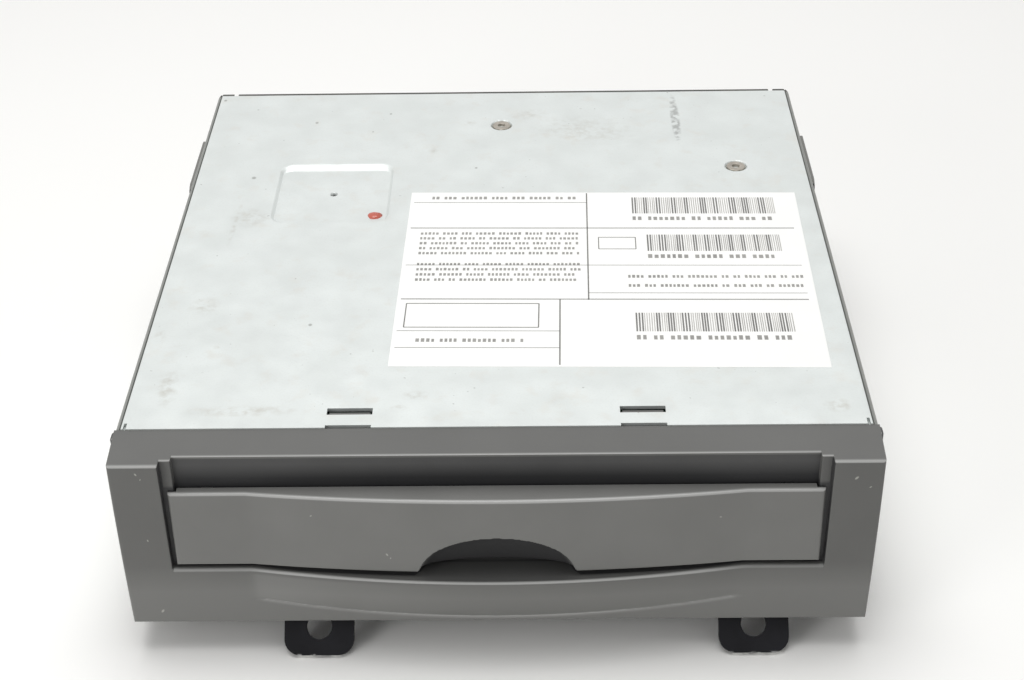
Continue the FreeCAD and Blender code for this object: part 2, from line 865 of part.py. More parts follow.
# Dust door: a bowed panel whose thinner edges run in front of the rails, held by two hooks behind.
def dust_door():
    edge_half = rail_half - d.door_side_gap
    thick_half = recess_half - d.slide_gap
    body = padded(
        "door_panel", "XY_Plane",
        [
            (-edge_half, 0), (edge_half, 0), (edge_half, d.door_edge_thick), (thick_half, d.door_edge_thick),
            (thick_half, d.door_thick), (-thick_half, d.door_thick), (-thick_half, d.door_edge_thick),
            (-edge_half, d.door_edge_thick),
        ],
        d.door_height, lift=door_foot,
    )
    bow = door_bow(d.bulge_half, d.door_bulge, door_foot)
    scoop = doc.addObject("Part::Ellipsoid", "finger_scoop")
    bind(scoop, Radius1=d.scoop_height, Radius2=d.scoop_half, Radius3=d.scoop_depth)
    scoop.Angle1 = -90
    scoop.Angle2 = 90
    scoop.Angle3 = 360
    put(scoop, 0, -d.door_bulge, door_foot)
    pieces = [body, bow]
    for side in (-1, 1):
        near = side * (rail_half - d.hook_in)
        stem_end = recess_back + d.slide_gap
        pieces.append(box(near - d.hook_width / 2, near + d.hook_width / 2, d.door_thick - 0.5,
                          stem_end + d.hook_plate, hook_foot, hook_foot + d.hook_tall))
        pieces.append(box(near - d.hook_head / 2, near + d.hook_head / 2, stem_end,
                          stem_end + d.hook_plate, hook_foot, hook_foot + d.hook_tall))
    return node("dust_door", cut(fuse(*pieces), scoop))


def door_bow(half, bulge, foot):
    """The door's bow: a segment of a circle grown upward over the door's height."""
    ends = [Vector(s * half.value, 0, foot.value) for s in (-1, 1)]
    arc = Part.Arc(ends[0], Vector(0, -bulge.value, foot.value), ends[1]).toShape()
    chord = Part.makeLine(ends[1], ends[0])
    bow = doc.addObject("Part::Feature", "door_bow")
    bow.Shape = Part.Face(Part.Wire([arc, chord])).extrude(Vector(0, 0, d.door_height.value))
    return bow


# Felt strips above and below the disc in the slot's throat.
def slot_felts():
    half = d.slot_width / 2
    front = d.recess_depth + 1
    back = d.recess_depth + d.slot_throat - 1
    top = slot_z + d.slot_height / 2
    foot = slot_z - d.slot_height / 2
    return node("slot_felts", bundle(
        box(-half, half, front, back, foot, foot + d.felt_thick),
        box(-half, half, front, back, top - d.felt_thick, top),
    ))


# Eject button: cap through the recess wall, a wider flange behind it and a stem to the switch.
button_front = d.recess_depth + 0.3


def eject_button():
    cap = box(eject_x - d.eject_width / 2, eject_x + d.eject_width / 2, button_front,
              recess_back + 0.4, eject_z - d.eject_height / 2, eject_z + d.eject_height / 2)
    flange = box(eject_x - d.eject_width / 2 - 1, eject_x + d.eject_width / 2 + 1,
                 recess_back + 0.3, flange_back,
                 eject_z - d.eject_height / 2 - 1, eject_z + d.eject_height / 2 + 1)
    return node("eject_button", fuse(cap, flange))


def front_board():
    half_tall = 6
    board = box(throat_half + 0.3, board_post_x + 3, front_board_y,
                front_board_y + 1.2, slot_z - half_tall, slot_z + half_tall)
    return node("front_board", board)


def eject_switch():
    body = box(eject_x - 2, eject_x + 2, front_board_y - d.switch_tall, front_board_y,
               eject_z - 2, eject_z + 2)
    return node("eject_switch", body)


# Mounting bracket: folded black sheet under the case, two ears, two sloping tabs, two rear feet.
def bracket_tab(x):
    """A tab that slopes from the band under the fascia down to the floor, hole square to its face."""
    plate = rounded_tab(x, tab_length)
    turn = Rotation(Vector(1, 0, 0), d.tab_angle.value)
    put(plate, 0, -d.tab_ahead, 0, turn)
    plate.setExpression("Placement.Rotation.Angle", d.tab_angle.text)
    return plate


tab_length = (case_floor - d.bracket_steel * cosine(d.tab_angle)) / sine(d.tab_angle)
tab_band_front = tab_length * cosine(d.tab_angle) - d.bracket_steel * sine(d.tab_angle) - d.tab_ahead


def rounded_tab(x, length):
    plate = box(x - d.tab_width / 2, x + d.tab_width / 2, 0, length, 0, d.bracket_steel)
    doc.recompute()
    rounded = round_edges(plate, d.tab_corner, lambda edge: upright(edge) and edge.CenterOfMass.y < 0.01)
    return cut(rounded, rod("z", d.tab_hole, -1, d.bracket_steel + 1, x, d.tab_hole_up))


def rear_foot(x):
    """A leg down from the band and a flange on the floor, with a hole."""
    leg = box(x - d.tab_width / 2, x + d.tab_width / 2, foot_leg_y - d.bracket_steel, foot_leg_y, 0,
              case_floor)
    flange = box(x - d.tab_width / 2, x + d.tab_width / 2, foot_leg_y - d.bracket_steel, whole_back, 0,
                 d.bracket_steel)
    doc.recompute()
    rounded = round_edges(flange, d.tab_corner,
                          lambda edge: upright(edge) and edge.CenterOfMass.y > whole_back.value - 0.01)
    return leg, cut(rounded, rod("z", d.tab_hole, -1, d.bracket_steel + 1, x, foot_hole_y))


band_rear = case_back - d.band_rear_in
foot_leg_y = band_rear
foot_hole_y = whole_back - d.foot_hole_in


def tab_places():
    return (d.tab_offset - d.tab_spacing / 2, d.tab_offset + d.tab_spacing / 2)


def side_ear(low, high):
    """A plate that stands up along the case's side, its two upper corners rounded."""
    plate = box(low, high, d.ear_front, d.ear_rear, case_floor - d.bracket_steel,
                cover_top - d.ear_top_drop)
    doc.recompute()
    return round_edges(plate, d.ear_corner, upper_corner)


def upper_corner(edge):
    """True for the edges along X at the top of a standing plate."""
    level = abs(abs(edge.tangentAt(edge.FirstParameter).x) - 1) < 1e-6
    return level and edge.CenterOfMass.z > (case_floor + 1).value


def mounting_bracket():
    thick = d.bracket_steel
    top = case_floor
    under = case_floor - thick
    pieces = [
        box(-ear_outer, ear_outer, d.band_front, d.band_front + d.band_width, under, top),
        box(-ear_outer, ear_outer, d.ear_front, d.ear_rear, under, top),
        box(-ear_outer + 10, ear_outer - 10, d.ear_rear - 1, band_rear, under, top),
    ]
    for side in (-1, 1):
        low, high = side_span(side, ear_outer - 32, ear_outer)
        pieces.append(box(low, high, d.band_front, d.ear_rear, under, top))
        low, high = side_span(side, ear_outer - thick, ear_outer)
        pieces.append(side_ear(low, high))
    holes = []
    for x in tab_places():
        pieces.append(bracket_tab(x))
        pieces.append(box(x - d.tab_width / 2, x + d.tab_width / 2, tab_band_front, d.band_front + 1,
                          under, top))
        pieces.extend(rear_foot(x))
    for side in (-1, 1):
        low, high = side_span(side, ear_outer - thick - 1, ear_outer + 1)
        holes.append(rod("x", 2.2, low, high, y=ear_hole_y, z=ear_hole_z))
    return node("mounting_bracket", cut(fuse(*pieces), *holes))


# Rating label: a thin sheet stuck on the cover, laid slightly askew.
def rating_label():
    half_wide, half_deep = d.label_width / 2, d.label_deep / 2
    paper = box(-half_wide, half_wide, -half_deep, half_deep, 0, d.label_thick)
    turn = Rotation(Vector(0, 0, 1), d.label_turn.value)
    return node("rating_label", paper, d.label_x, d.label_y, cover_top, turn)


# Boards and what is soldered to them.
def main_board():
    half = wall_inner - d.board_side_gap
    board = box(-half, half, case_front + 5, panel_front - 1, board_z,
                board_z + d.board_thick)
    holes = [rod("z", 1.6, board_z - 1, board_z + d.board_thick + 1, x, y) for x, y in post_places()]
    return node("main_board", cut(board, *holes))


def post_places():
    post_x = wall_inner - d.post_side_in
    return [(side * post_x, y) for side in (-1, 1) for y in (d.post_front, panel_front - d.post_in)]


def board_standoffs():
    post = cut(rod("z", d.post_radius, inner_floor, board_z),
               rod("z", 1.2, board_z - 8, board_z + 1))
    return group_node("board_standoffs", post, [(x, y, 0, UP) for x, y in post_places()])


def chips():
    top = board_top
    half = d.chip_width / 2
    processor = box(d.press_x - half, d.press_x + half, d.press_y - half, d.press_y + half, top,
                    top + d.chip_thick)
    node("processor", processor)
    pad_top = inner_roof - d.press_depth
    pad = box(d.press_x - half + 1, d.press_x + half - 1, d.press_y - half + 1, d.press_y + half - 1,
              top + d.chip_thick, pad_top)
    node("thermal_pad", pad)
    half_wide, half_deep = d.memory_width / 2, d.memory_deep / 2
    memory = box(-half_wide, half_wide, -half_deep, half_deep, 0, d.memory_thick)
    group_node("memory_chips", memory, [
        (d.press_x + d.memory_pitch * (column - 0.5), d.memory_y + d.memory_step * row, top, UP)
        for row in (0, 1) for column in (0, 1)
    ])
    half_wide, half_deep = d.shield_width / 2, d.shield_deep / 2
    can = box(-half_wide, half_wide, -half_deep, half_deep, 0, d.shield_tall)
    node("receiver_shield", can, d.shield_x, d.shield_y, top)
    radius, tall = d.capacitor_radius, d.capacitor_tall
    capacitor = turned("capacitor_can", [
        (0, 0), (radius, 0), (radius, tall - 0.6), (radius - 0.4, tall), (0, tall),
    ])
    group_node("capacitors", capacitor, [
        (d.capacitor_x + d.capacitor_pitch * i, panel_front - d.capacitor_in, board_z - tall, UP)
        for i in range(3)
    ])
    half_wide, half_deep = d.gyro_width / 2, d.gyro_deep / 2
    gyro = box(-half_wide, half_wide, -half_deep, half_deep, -d.gyro_tall, 0)
    node("gyro_sensor", gyro, d.gyro_side_in - wall_inner, d.gyro_y, board_z)


servo_rear = d.frame_rear - 5


def servo_board():
    board = box(-d.drive_board_half, d.drive_board_half, d.drive_board_front, servo_rear,
                servo_board_z, servo_board_z + d.board_thick)
    return node("drive_board", board)


# Ribbon cable: from the drive board's rear edge up to the underside of the main board.
def ribbon_cable():
    thin = d.ribbon_thick
    half = d.ribbon_width / 2
    low = servo_board_z + d.board_thick
    rise = panel_front - 13.7
    strip = fuse(
        box(-half, half, servo_rear - 10, rise, low, low + thin),
        box(-half, half, rise - thin, rise, low, board_z),
        box(-half, half, rise - 14, rise, board_z - thin, board_z),
    )
    return node("ribbon_cable", strip)


# Sockets on the rear edge of the main board.
def socket_box(name, x, width):
    half = width / 2
    back = case_back + d.socket_out
    outer = box(x - half, x + half, panel_front - 12, back, socket_foot, socket_top)
    hollow = box(x - half + d.socket_wall, x + half - d.socket_wall, back - d.socket_deep, back + 1,
                 socket_foot + d.socket_wall, socket_top - d.socket_wall)
    return node(name, cut(outer, hollow))


def pin_rows(name, x, columns):
    pin = box(-0.4, as_size(0.4), 0, d.socket_deep - d.pin_recess, -0.4, as_size(0.4))
    places = []
    for row in (-1, 1):
        for column in range(columns):
            offset = 3.2 * (column - (columns - 1) / 2)
            places.append((x + offset, case_back + d.socket_out - d.socket_deep,
                           (socket_foot + socket_top) / 2 + row * 1.6, UP))
    return group_node(name, pin, places)


def antenna_jack():
    back = case_back + d.socket_out + 1
    barrel = cut(rod("y", d.jack_radius, panel_front - 8, back, d.jack_x, z=jack_z),
                 rod("y", d.jack_bore, back - d.socket_deep + 1, back + 1, d.jack_x, z=jack_z))
    core = rod("y", 0.6, back - d.socket_deep, back - d.pin_recess, d.jack_x, z=jack_z)
    return node("antenna_jack", fuse(barrel, core))


# Drive frame: floor plate with a window, two side walls and four ears on the dampers.
sled_y = d.spindle_y + d.sled_start
rod_z = frame_z + d.rod_rise
screw_z = rod_z + d.screw_rise
rod_front = sled_y - d.sled_half_depth - 4
rod_rear = sled_y + d.sled_half_depth + d.sled_travel + 13
clamp_pin_z = disc_z + d.disc_thick + d.clamper_tall + d.arm_float + d.arm_thick / 2
cam_y = d.clamp_pin_y - d.cam_pin_reach
cam_rise = d.cam_pin_reach * sine(d.clamp_open)
frame_outer = frame_half + d.frame_sheet
slider_x = frame_outer + 0.4
slider_thick = as_size(1.2)
roller_z = disc_z - d.roller_radius - 0.3


window_half = d.plate_half - 6


def drive_frame():
    plate_top = frame_top
    pieces = [box(-frame_outer, frame_outer, d.frame_front, d.frame_rear, frame_z, plate_top)]
    holes = [box(-window_half, window_half, d.spindle_y - 18, rod_rear - 4, frame_z - 1, plate_top + 1)]
    for side in (-1, 1):
        low, high = side_span(side, frame_half, frame_outer)
        pieces.append(box(low, high, d.frame_front, d.frame_rear, frame_z, disc_z + d.frame_side_rise))
        low, high = side_span(side, frame_outer - 1, damper_x + 6)
        for y in DAMPER_Y:
            pieces.append(box(low, high, y - as_size(6.5), as_size(y) + 6.5, frame_z, plate_top))
            holes.append(rod("z", 3.5, frame_z - 1, plate_top + 1, side * damper_x, y))
        low, high = side_span(side, frame_half - 1, frame_outer + 1)
        holes.append(rod("x", d.spindle_radius + d.running_gap, low, high, y=d.roller_y, z=roller_z))
        holes.append(rod("x", d.pin_radius, low, high, y=d.clamp_pin_y, z=clamp_pin_z))
    # window for the cam pin of the clamp arm in the left wall
    reach = d.cam_pin_radius + 0.5
    holes.append(box(-frame_outer - 1, -frame_half + 1, cam_y - reach, cam_y + reach,
                     clamp_pin_z - reach, clamp_pin_z + cam_rise + reach + 4))
    # room for the loading motor, and its two bearing holes in the right wall
    holes.append(box(frame_half - d.motor_length - 1.5, frame_half, motor_y - d.motor_radius - 0.5,
                     motor_y + d.motor_radius + 0.5, frame_z - 1, plate_top + 1))
    holes.append(rod("x", 2, frame_half - 1, frame_outer + 1, y=motor_y, z=motor_z))
    for x, y in traverse_screw_places():
        holes.append(rod("z", 1.2, frame_z - 1, plate_top + 1, x, y))
    stub = rod("x", d.spindle_radius, frame_outer - 0.5, frame_outer + gear_stack + 0.6, y=idler_y, z=idler_z)
    pieces.append(stub)
    return node("drive_frame", cut(fuse(*pieces), *holes))


# Feed gear train on the right wall: roller gear, reduction gear, motor pinion, meshing in one plane each.
gear_stack = as_size(6.4)
small_reach = d.gear_module * (d.roller_teeth + d.small_teeth) / 2
large_reach = d.gear_module * (d.large_teeth + d.pinion_teeth) / 2
mesh_angle_one = as_size(-7)
mesh_angle_two = as_size(-26)
idler_y = d.roller_y + small_reach * cosine(mesh_angle_one)
idler_z = roller_z + small_reach * sine(mesh_angle_one)
motor_y = idler_y + large_reach * cosine(mesh_angle_two)
motor_z = idler_z + large_reach * sine(mesh_angle_two)
large_plane = frame_outer + 0.5
small_plane = large_plane + d.gear_width + 0.2


def gear(name, teeth, bore, lead_angle):
    """A toothed wheel on its own Z axis, its first tooth turned to lead_angle."""
    body = new_body(name)
    pitch_radius = d.gear_module * teeth / 2
    root = pitch_radius - d.gear_module * 0.95
    tip = pitch_radius + d.gear_module * 0.6
    half_pitch = d.gear_module * 0.60
    half_tip = d.gear_module * 0.36
    disc = sketch_on(body, "XY_Plane", "disc")
    circle(disc, 0, 0, root)
    if as_size(bore).value > 0:
        circle(disc, 0, 0, bore)
    pad(body, disc, d.gear_width)
    tooth = sketch_on(body, "XY_Plane", "tooth")
    outline(tooth, [(root - 0.3, -half_pitch), (pitch_radius, -half_pitch), (tip, -half_tip),
                    (tip, half_tip), (pitch_radius, half_pitch), (root - 0.3, half_pitch)])
    bump = pad(body, tooth, d.gear_width)
    doc.recompute()
    ring = body.newObject("PartDesign::PolarPattern", "teeth")
    ring.Originals = [bump]
    ring.Axis = (disc, ["N_Axis"])
    ring.Angle = 360
    bind_count(ring, teeth)
    body.Tip = ring
    turn = FACING["x"].multiply(Rotation(Vector(0, 0, 1), lead_angle))
    return body, turn


def bind_count(pattern, teeth):
    pattern.Occurrences = int(round(teeth.value))
    pattern.setExpression("Occurrences", teeth.text)


def gear_train():
    one = mesh_angle_one.value
    two = mesh_angle_two.value
    wheel, turn = gear("roller_wheel", d.roller_teeth, d.spindle_radius, one + 90)
    node("roller_gear", wheel, small_plane, d.roller_y, roller_z, turn)
    half_step = 180 / d.small_teeth.value
    small, small_turn = gear("small_wheel", d.small_teeth, d.spindle_radius + d.running_gap,
                             one + 180 + half_step + 90)
    large, large_turn = gear("large_wheel", d.large_teeth, d.spindle_radius + d.running_gap, two + 90)
    put(small, small_plane - large_plane, 0, 0, small_turn)
    put(large, 0, 0, 0, large_turn)
    spacer = cut(rod("x", 3, d.gear_width - 0.2, d.gear_width + 0.4),
                 rod("x", d.spindle_radius + d.running_gap, 0, d.gear_width + 1))
    node("reduction_gear", fuse(small, large, spacer), large_plane, idler_y, idler_z)
    half_step = 180 / d.pinion_teeth.value
    pinion, turn = gear("pinion_wheel", d.pinion_teeth, 0.8, two + 180 + half_step + 90)
    node("motor_pinion", pinion, large_plane, motor_y, motor_z, turn)
    can_end = frame_half
    can = cut(rod("x", d.motor_radius, can_end - d.motor_length, can_end, y=motor_y, z=motor_z),
              rod("x", 0.8 + d.running_gap, can_end - 14, can_end + 1, y=motor_y, z=motor_z))
    node("loading_motor", can)
    shaft = rod("x", 0.8, can_end - 13, large_plane + d.gear_width, y=motor_y, z=motor_z)
    node("motor_shaft", shaft)


# Feed roller: rubber sleeve with a slimmer waist on a steel shaft, close under the disc.
def feed_roller():
    half = frame_half - d.roller_end_gap
    sleeve = turned("roller_sleeve", [
        (d.spindle_radius, -half), (d.roller_radius, -half), (d.roller_radius, -half + 8),
        (d.roller_waist, -6), (d.roller_waist, as_size(6)), (d.roller_radius, half - 8),
        (d.roller_radius, half), (d.spindle_radius, half),
    ])
    node("feed_roller", sleeve, 0, d.roller_y, roller_z, FACING["x"])
    node("roller_shaft", rod("x", d.spindle_radius, -frame_outer - 1.5,
                             small_plane + d.gear_width + 0.8, y=d.roller_y, z=roller_z))


def disc_guide():
    """White guide plate over the roller, fixed between the frame's side walls."""
    foot = disc_z + d.disc_thick + 1.2
    plate = box(-frame_half, frame_half, d.roller_y - 8, d.roller_y + 10, foot, foot + 1.6)
    ribs = [box(-frame_half, frame_half, d.roller_y + y, d.roller_y + y + as_size(1.4), foot, foot + 4)
            for y in (-8, 8.6)]
    return node("disc_guide", fuse(plate, *ribs))


# Dampers: rubber grommets in the frame's ears, on the chassis posts, held by shoulder screws.
def dampers():
    neck = 3.4
    grommet = turned("grommet", [
        (1.7, post_top), (5.5, post_top), (5.5, frame_z), (neck, frame_z),
        (neck, frame_z + d.frame_sheet), (5.5, frame_z + d.frame_sheet),
        (5.5, frame_z + 4), (1.7, frame_z + 4),
    ])
    places = [(side * damper_x, y, 0, UP) for side in (-1, 1) for y in DAMPER_Y]
    group_node("rubber_dampers", grommet, places)
    screw = turned("shoulder_screw", [
        (0, post_top - 3.5), (1.2, post_top - 3.5), (1.2, post_top), (1.5, post_top),
        (1.5, frame_z + 4), (4, frame_z + 4), (4, frame_z + 5.6), (0, frame_z + 5.6),
    ])
    group_node("damper_screws", screw, places)


# Disc drive: spindle motor, its shaft, turntable, clamper puck and the arm that carries it.
def spindle():
    top = disc_z - d.turntable_thick - 0.5
    foot = top - d.spindle_motor_tall
    shaft = d.spindle_radius
    gap = d.running_gap
    node("spindle_motor", turned("motor_can", [
        (shaft + gap, foot + 1), (shaft + gap, top), (5, top), (5, top - 1),
        (d.spindle_motor_radius, top - 1.8), (d.spindle_motor_radius, foot),
        (0, foot), (0, foot + 1),
    ]), 0, d.spindle_y, 0)
    node("spindle_shaft", rod("z", shaft, foot + 1.3, disc_z, y=d.spindle_y))
    node("turntable", turned("turntable_disc", [
        (shaft, disc_z - d.turntable_thick), (d.turntable_radius, disc_z - d.turntable_thick),
        (d.turntable_radius, disc_z), (d.hub_radius, disc_z),
        (d.hub_radius - 1.2, disc_z + d.hub_height), (shaft, disc_z + d.hub_height),
    ]), 0, d.spindle_y, 0)


def clamper():
    foot = disc_z + d.disc_thick
    top = foot + d.clamper_tall
    neck_top = top + d.arm_float * 2 + d.arm_thick
    recess = d.hub_radius + 0.8
    ceiling = disc_z + d.hub_height + 0.5
    return node("clamper", turned("puck", [
        (recess, foot), (d.clamper_radius, foot), (d.clamper_radius, top), (d.clamper_neck, top),
        (d.clamper_neck, neck_top), (d.clamper_flange, neck_top), (d.clamper_flange, neck_top + 1.2),
        (0, neck_top + 1.2), (0, ceiling), (recess, ceiling),
    ]), 0, d.spindle_y, 0)


def clamp_arm():
    low = clamp_pin_z - d.arm_thick / 2
    high = clamp_pin_z + d.arm_thick / 2
    wide = 50
    plate = padded("arm_plate", "XY_Plane", [
        (-d.arm_half, d.spindle_y - 14), (d.arm_half, d.spindle_y - 14), (d.arm_half, d.spindle_y + 14),
        (wide, d.clamp_pin_y - 12), (wide, d.clamp_pin_y), (-wide, d.clamp_pin_y),
        (-wide, d.clamp_pin_y - 12), (-d.arm_half, d.spindle_y + 14),
    ], d.arm_thick, lift=low)
    barrel = rod("x", d.pin_radius + 1.4, -wide, as_size(wide), y=d.clamp_pin_y, z=clamp_pin_z)
    cam_pin = rod("x", d.cam_pin_radius, -slider_x - slider_thick - 0.6, as_size(-40), y=cam_y, z=clamp_pin_z)
    web = box(-45, as_size(-36), cam_y - 3, cam_y + 3, low, high)
    bore = rod("x", d.pin_radius + d.running_gap, -wide - as_size(1), as_size(wide) + 1, y=d.clamp_pin_y,
               z=clamp_pin_z)
    hole = rod("z", d.clamper_neck + 1.5, low - 1, high + 1, y=d.spindle_y)
    node("clamp_arm", cut(fuse(plate, barrel, cam_pin, web), bore, hole))
    node("clamp_pin", rod("x", d.pin_radius, -frame_outer, frame_outer, y=d.clamp_pin_y, z=clamp_pin_z))
    leaf_top = high + d.arm_float + 2.6
    node("clamp_leaf_spring", padded("leaf", "YZ_Plane", [
        (d.spindle_y + 34, high), (d.spindle_y + 24, high), (d.spindle_y + 14, leaf_top),
        (d.spindle_y - 3, leaf_top), (d.spindle_y - 3, leaf_top + 0.3), (d.spindle_y + 14.1, leaf_top + 0.3),
        (d.spindle_y + 24.1, high + 0.3), (d.spindle_y + 34, high + 0.3),
    ], 6, lift=-3))


# Mode slider: a plate outside the left wall whose inclined slot lifts the clamp arm's cam pin.
def mode_slider():
    out = -slider_x
    back = d.cam_pin_radius + 0.45
    plate = box(out - slider_thick, out, cam_y - 26, cam_y + 16, clamp_pin_z - 12, clamp_pin_z + 6)
    slot = padded("cam_slot", "YZ_Plane", [
        (cam_y + back, -back + clamp_pin_z), (cam_y + back, back + clamp_pin_z),
        (cam_y + back * 0.4, back * 1.4 + clamp_pin_z),
        (cam_y - d.slider_travel - back, cam_rise + back * 1.4 + clamp_pin_z),
        (cam_y - d.slider_travel - back, cam_rise - back + clamp_pin_z),
        (cam_y - back * 0.8, -back * 1.4 + clamp_pin_z),
    ], slider_thick + 2, lift=out - slider_thick - 1)
    return node("mode_slider", cut(plate, slot))


# Pickup: traverse plate, two rods, the sled with its lens, the lead screw and its motor.
traverse_z = frame_top
traverse_top = traverse_z + d.plate_thick


def traverse():
    plate = box(-d.plate_half, d.plate_half, d.spindle_y - 22, rod_rear + 5, traverse_z, traverse_top)
    inside = d.rod_x - 4
    holes = [
        box(-inside, inside, rod_front + 3, rod_rear - 3.5, traverse_z - 1, traverse_top + 1),
        rod("z", d.spindle_motor_radius + 0.1, traverse_z - 1, traverse_top + 1, y=d.spindle_y),
    ]
    for x, y in traverse_screw_places():
        holes.append(rod("z", 1.2, traverse_z - 1, traverse_top + 1, x, y))
    blocks = []
    for side in (-1, 1):
        middle = side * d.rod_x
        for y in (rod_front - 1, rod_rear - 3):
            blocks.append(box(middle - 3.4, middle + 3.4, y, y + 4, traverse_z, rod_z + 3))
            holes.append(rod("y", d.rod_radius, rod_front, rod_rear, middle, z=rod_z))
    blocks.append(box(d.screw_x - 3, d.screw_x + 3.4, rod_front + 1, rod_front + 4, traverse_z,
                      screw_z + 3))
    holes.append(rod("y", d.journal_radius + d.running_gap, rod_front, rod_front + 5, d.screw_x, z=screw_z))
    node("traverse_plate", cut(fuse(plate, *blocks), *holes))
    screw = pan_screw(as_size(2.4), as_size(1.2), as_size(3), as_size(1.4))
    group_node("traverse_screws", screw, [(x, y, traverse_top, UP) for x, y in traverse_screw_places()])
    bars = [(side * d.rod_x, 0, 0, UP) for side in (-1, 1)]
    group_node("guide_rods", rod("y", d.rod_radius, rod_front, rod_rear, z=rod_z), bars)


def traverse_screw_places():
    front, rear = d.spindle_y - 17, rod_rear + 0.5
    right = d.plate_half - 4
    return ((-right, front), (right, front), (-right, rear))


def pickup():
    half = d.sled_half_depth
    wide = d.rod_x + 3.4
    shoulder = traverse_top + 0.6
    body = fuse(
        box(-wide, wide, sled_y - half, sled_y + half, shoulder, rod_z + 2.9),
        box(-d.rod_x + 6, d.rod_x - 6, sled_y - half, sled_y + half, traverse_z - 1.4, shoulder + 0.5),
        box(wide - 1, d.screw_x + 3, sled_y - 4, sled_y + 4, shoulder, screw_z + 2.9),
    )
    bores = [rod("y", d.rod_radius + d.running_gap, sled_y - half - 1, sled_y + half + 1, side * d.rod_x,
                 z=rod_z) for side in (-1, 1)]
    bores.append(rod("y", d.rod_radius + d.running_gap, sled_y - half - 1, sled_y + half + 1, d.screw_x,
                     z=screw_z))
    bores.append(rod("z", d.lens_radius, rod_z, rod_z + 5, y=sled_y))
    node("pickup_sled", cut(body, *bores))
    lens_foot = rod_z + 1
    lens = turned("lens_blank", [
        (0, lens_foot), (d.lens_radius, lens_foot), (d.lens_radius, rod_z + 3.4),
        (d.lens_radius * 0.7, rod_z + 4.1), (0, rod_z + 4.3),
    ])
    node("objective_lens", lens, 0, sled_y, 0)
    stepper_front = rod_rear + 0.5
    screw = fuse(
        rod("y", d.rod_radius, rod_front + 4.4, stepper_front - 0.3, d.screw_x, z=screw_z),
        rod("y", d.journal_radius, rod_front + 1.5, stepper_front + 6, d.screw_x, z=screw_z),
    )
    node("lead_screw", screw)
    journal_bore = d.journal_radius + d.running_gap
    stepper = cut(
        rod("y", d.stepper_radius, stepper_front, stepper_front + 9, d.screw_x, z=screw_z),
        rod("y", journal_bore, stepper_front - 1, stepper_front + 6.5, d.screw_x, z=screw_z),
    )
    node("sled_motor", stepper)


# Fasteners.
def fasteners():
    group_node("cover_screws", flat_screw(), [(x, y, cover_top, UP) for x, y in screw_places()])
    side = pan_screw(as_size(3.6), as_size(1.5), as_size(4), as_size(1.8))
    group_node("bracket_screws", side, [
        (ear_outer, ear_hole_y, ear_hole_z, TO_RIGHT),
        (-ear_outer, ear_hole_y, ear_hole_z, TO_LEFT),
    ])
    rear = pan_screw(as_size(2.8), as_size(1.5), as_size(5), as_size(1.6))
    group_node("rear_screws", rear, [(x, case_back, z, TO_BACK) for x, z in rear_screw_places()])
    board = pan_screw(as_size(2.8), as_size(1.2), as_size(6), as_size(1.4))
    group_node("board_screws", board, [(x, y, board_z + d.board_thick, UP) for x, y in post_places()])


chassis()
top_cover()
rear_panel()
fascia()
dust_door()
slot_felts()
eject_button()
front_board()
eject_switch()
mounting_bracket()
rating_label()
main_board()
board_standoffs()
chips()
servo_board()
ribbon_cable()
socket_box("main_socket", d.main_socket_x, d.main_socket_width)
socket_box("aux_socket", d.aux_socket_x, d.aux_socket_width)
socket_box("fibre_socket", d.fibre_x, d.fibre_width)
pin_rows("main_pins", d.main_socket_x, 11)
pin_rows("aux_pins", d.aux_socket_x, 4)
antenna_jack()
drive_frame()
gear_train()
feed_roller()
disc_guide()
dampers()
spindle()
clamper()
clamp_arm()
mode_slider()
traverse()
pickup()
fasteners()
doc.recompute()

failed = [o.Label for o in doc.Objects if "Invalid" in o.State or "Error" in o.State]
if failed:
    raise SystemExit("failed features: " + ", ".join(failed))
for name, solid in NODES:
    shape = solid.Shape
    if shape.isNull() or not shape.isValid() or not shape.Solids:
        raise SystemExit("bad shape: " + name)
    shape.exportStep(f"parts/{name}.step")
    print(name, len(shape.Solids), round(shape.Volume, 1))
print(len(NODES), "nodes")
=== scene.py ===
import math

import bpy
import numpy as np
from mathutils import Matrix, Vector


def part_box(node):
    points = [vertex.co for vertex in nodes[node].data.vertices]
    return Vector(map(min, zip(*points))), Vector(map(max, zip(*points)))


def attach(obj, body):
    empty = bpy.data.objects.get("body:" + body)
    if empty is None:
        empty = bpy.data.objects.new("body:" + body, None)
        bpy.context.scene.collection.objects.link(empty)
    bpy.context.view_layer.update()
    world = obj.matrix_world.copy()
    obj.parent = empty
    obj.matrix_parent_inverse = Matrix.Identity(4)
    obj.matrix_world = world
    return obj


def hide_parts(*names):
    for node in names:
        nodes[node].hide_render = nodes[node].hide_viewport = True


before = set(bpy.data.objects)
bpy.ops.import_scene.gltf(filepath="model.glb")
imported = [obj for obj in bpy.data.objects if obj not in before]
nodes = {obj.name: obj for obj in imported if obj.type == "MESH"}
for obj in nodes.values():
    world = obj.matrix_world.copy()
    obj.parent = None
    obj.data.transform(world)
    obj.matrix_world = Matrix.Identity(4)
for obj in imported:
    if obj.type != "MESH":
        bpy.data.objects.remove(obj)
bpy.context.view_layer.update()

MM = 0.001

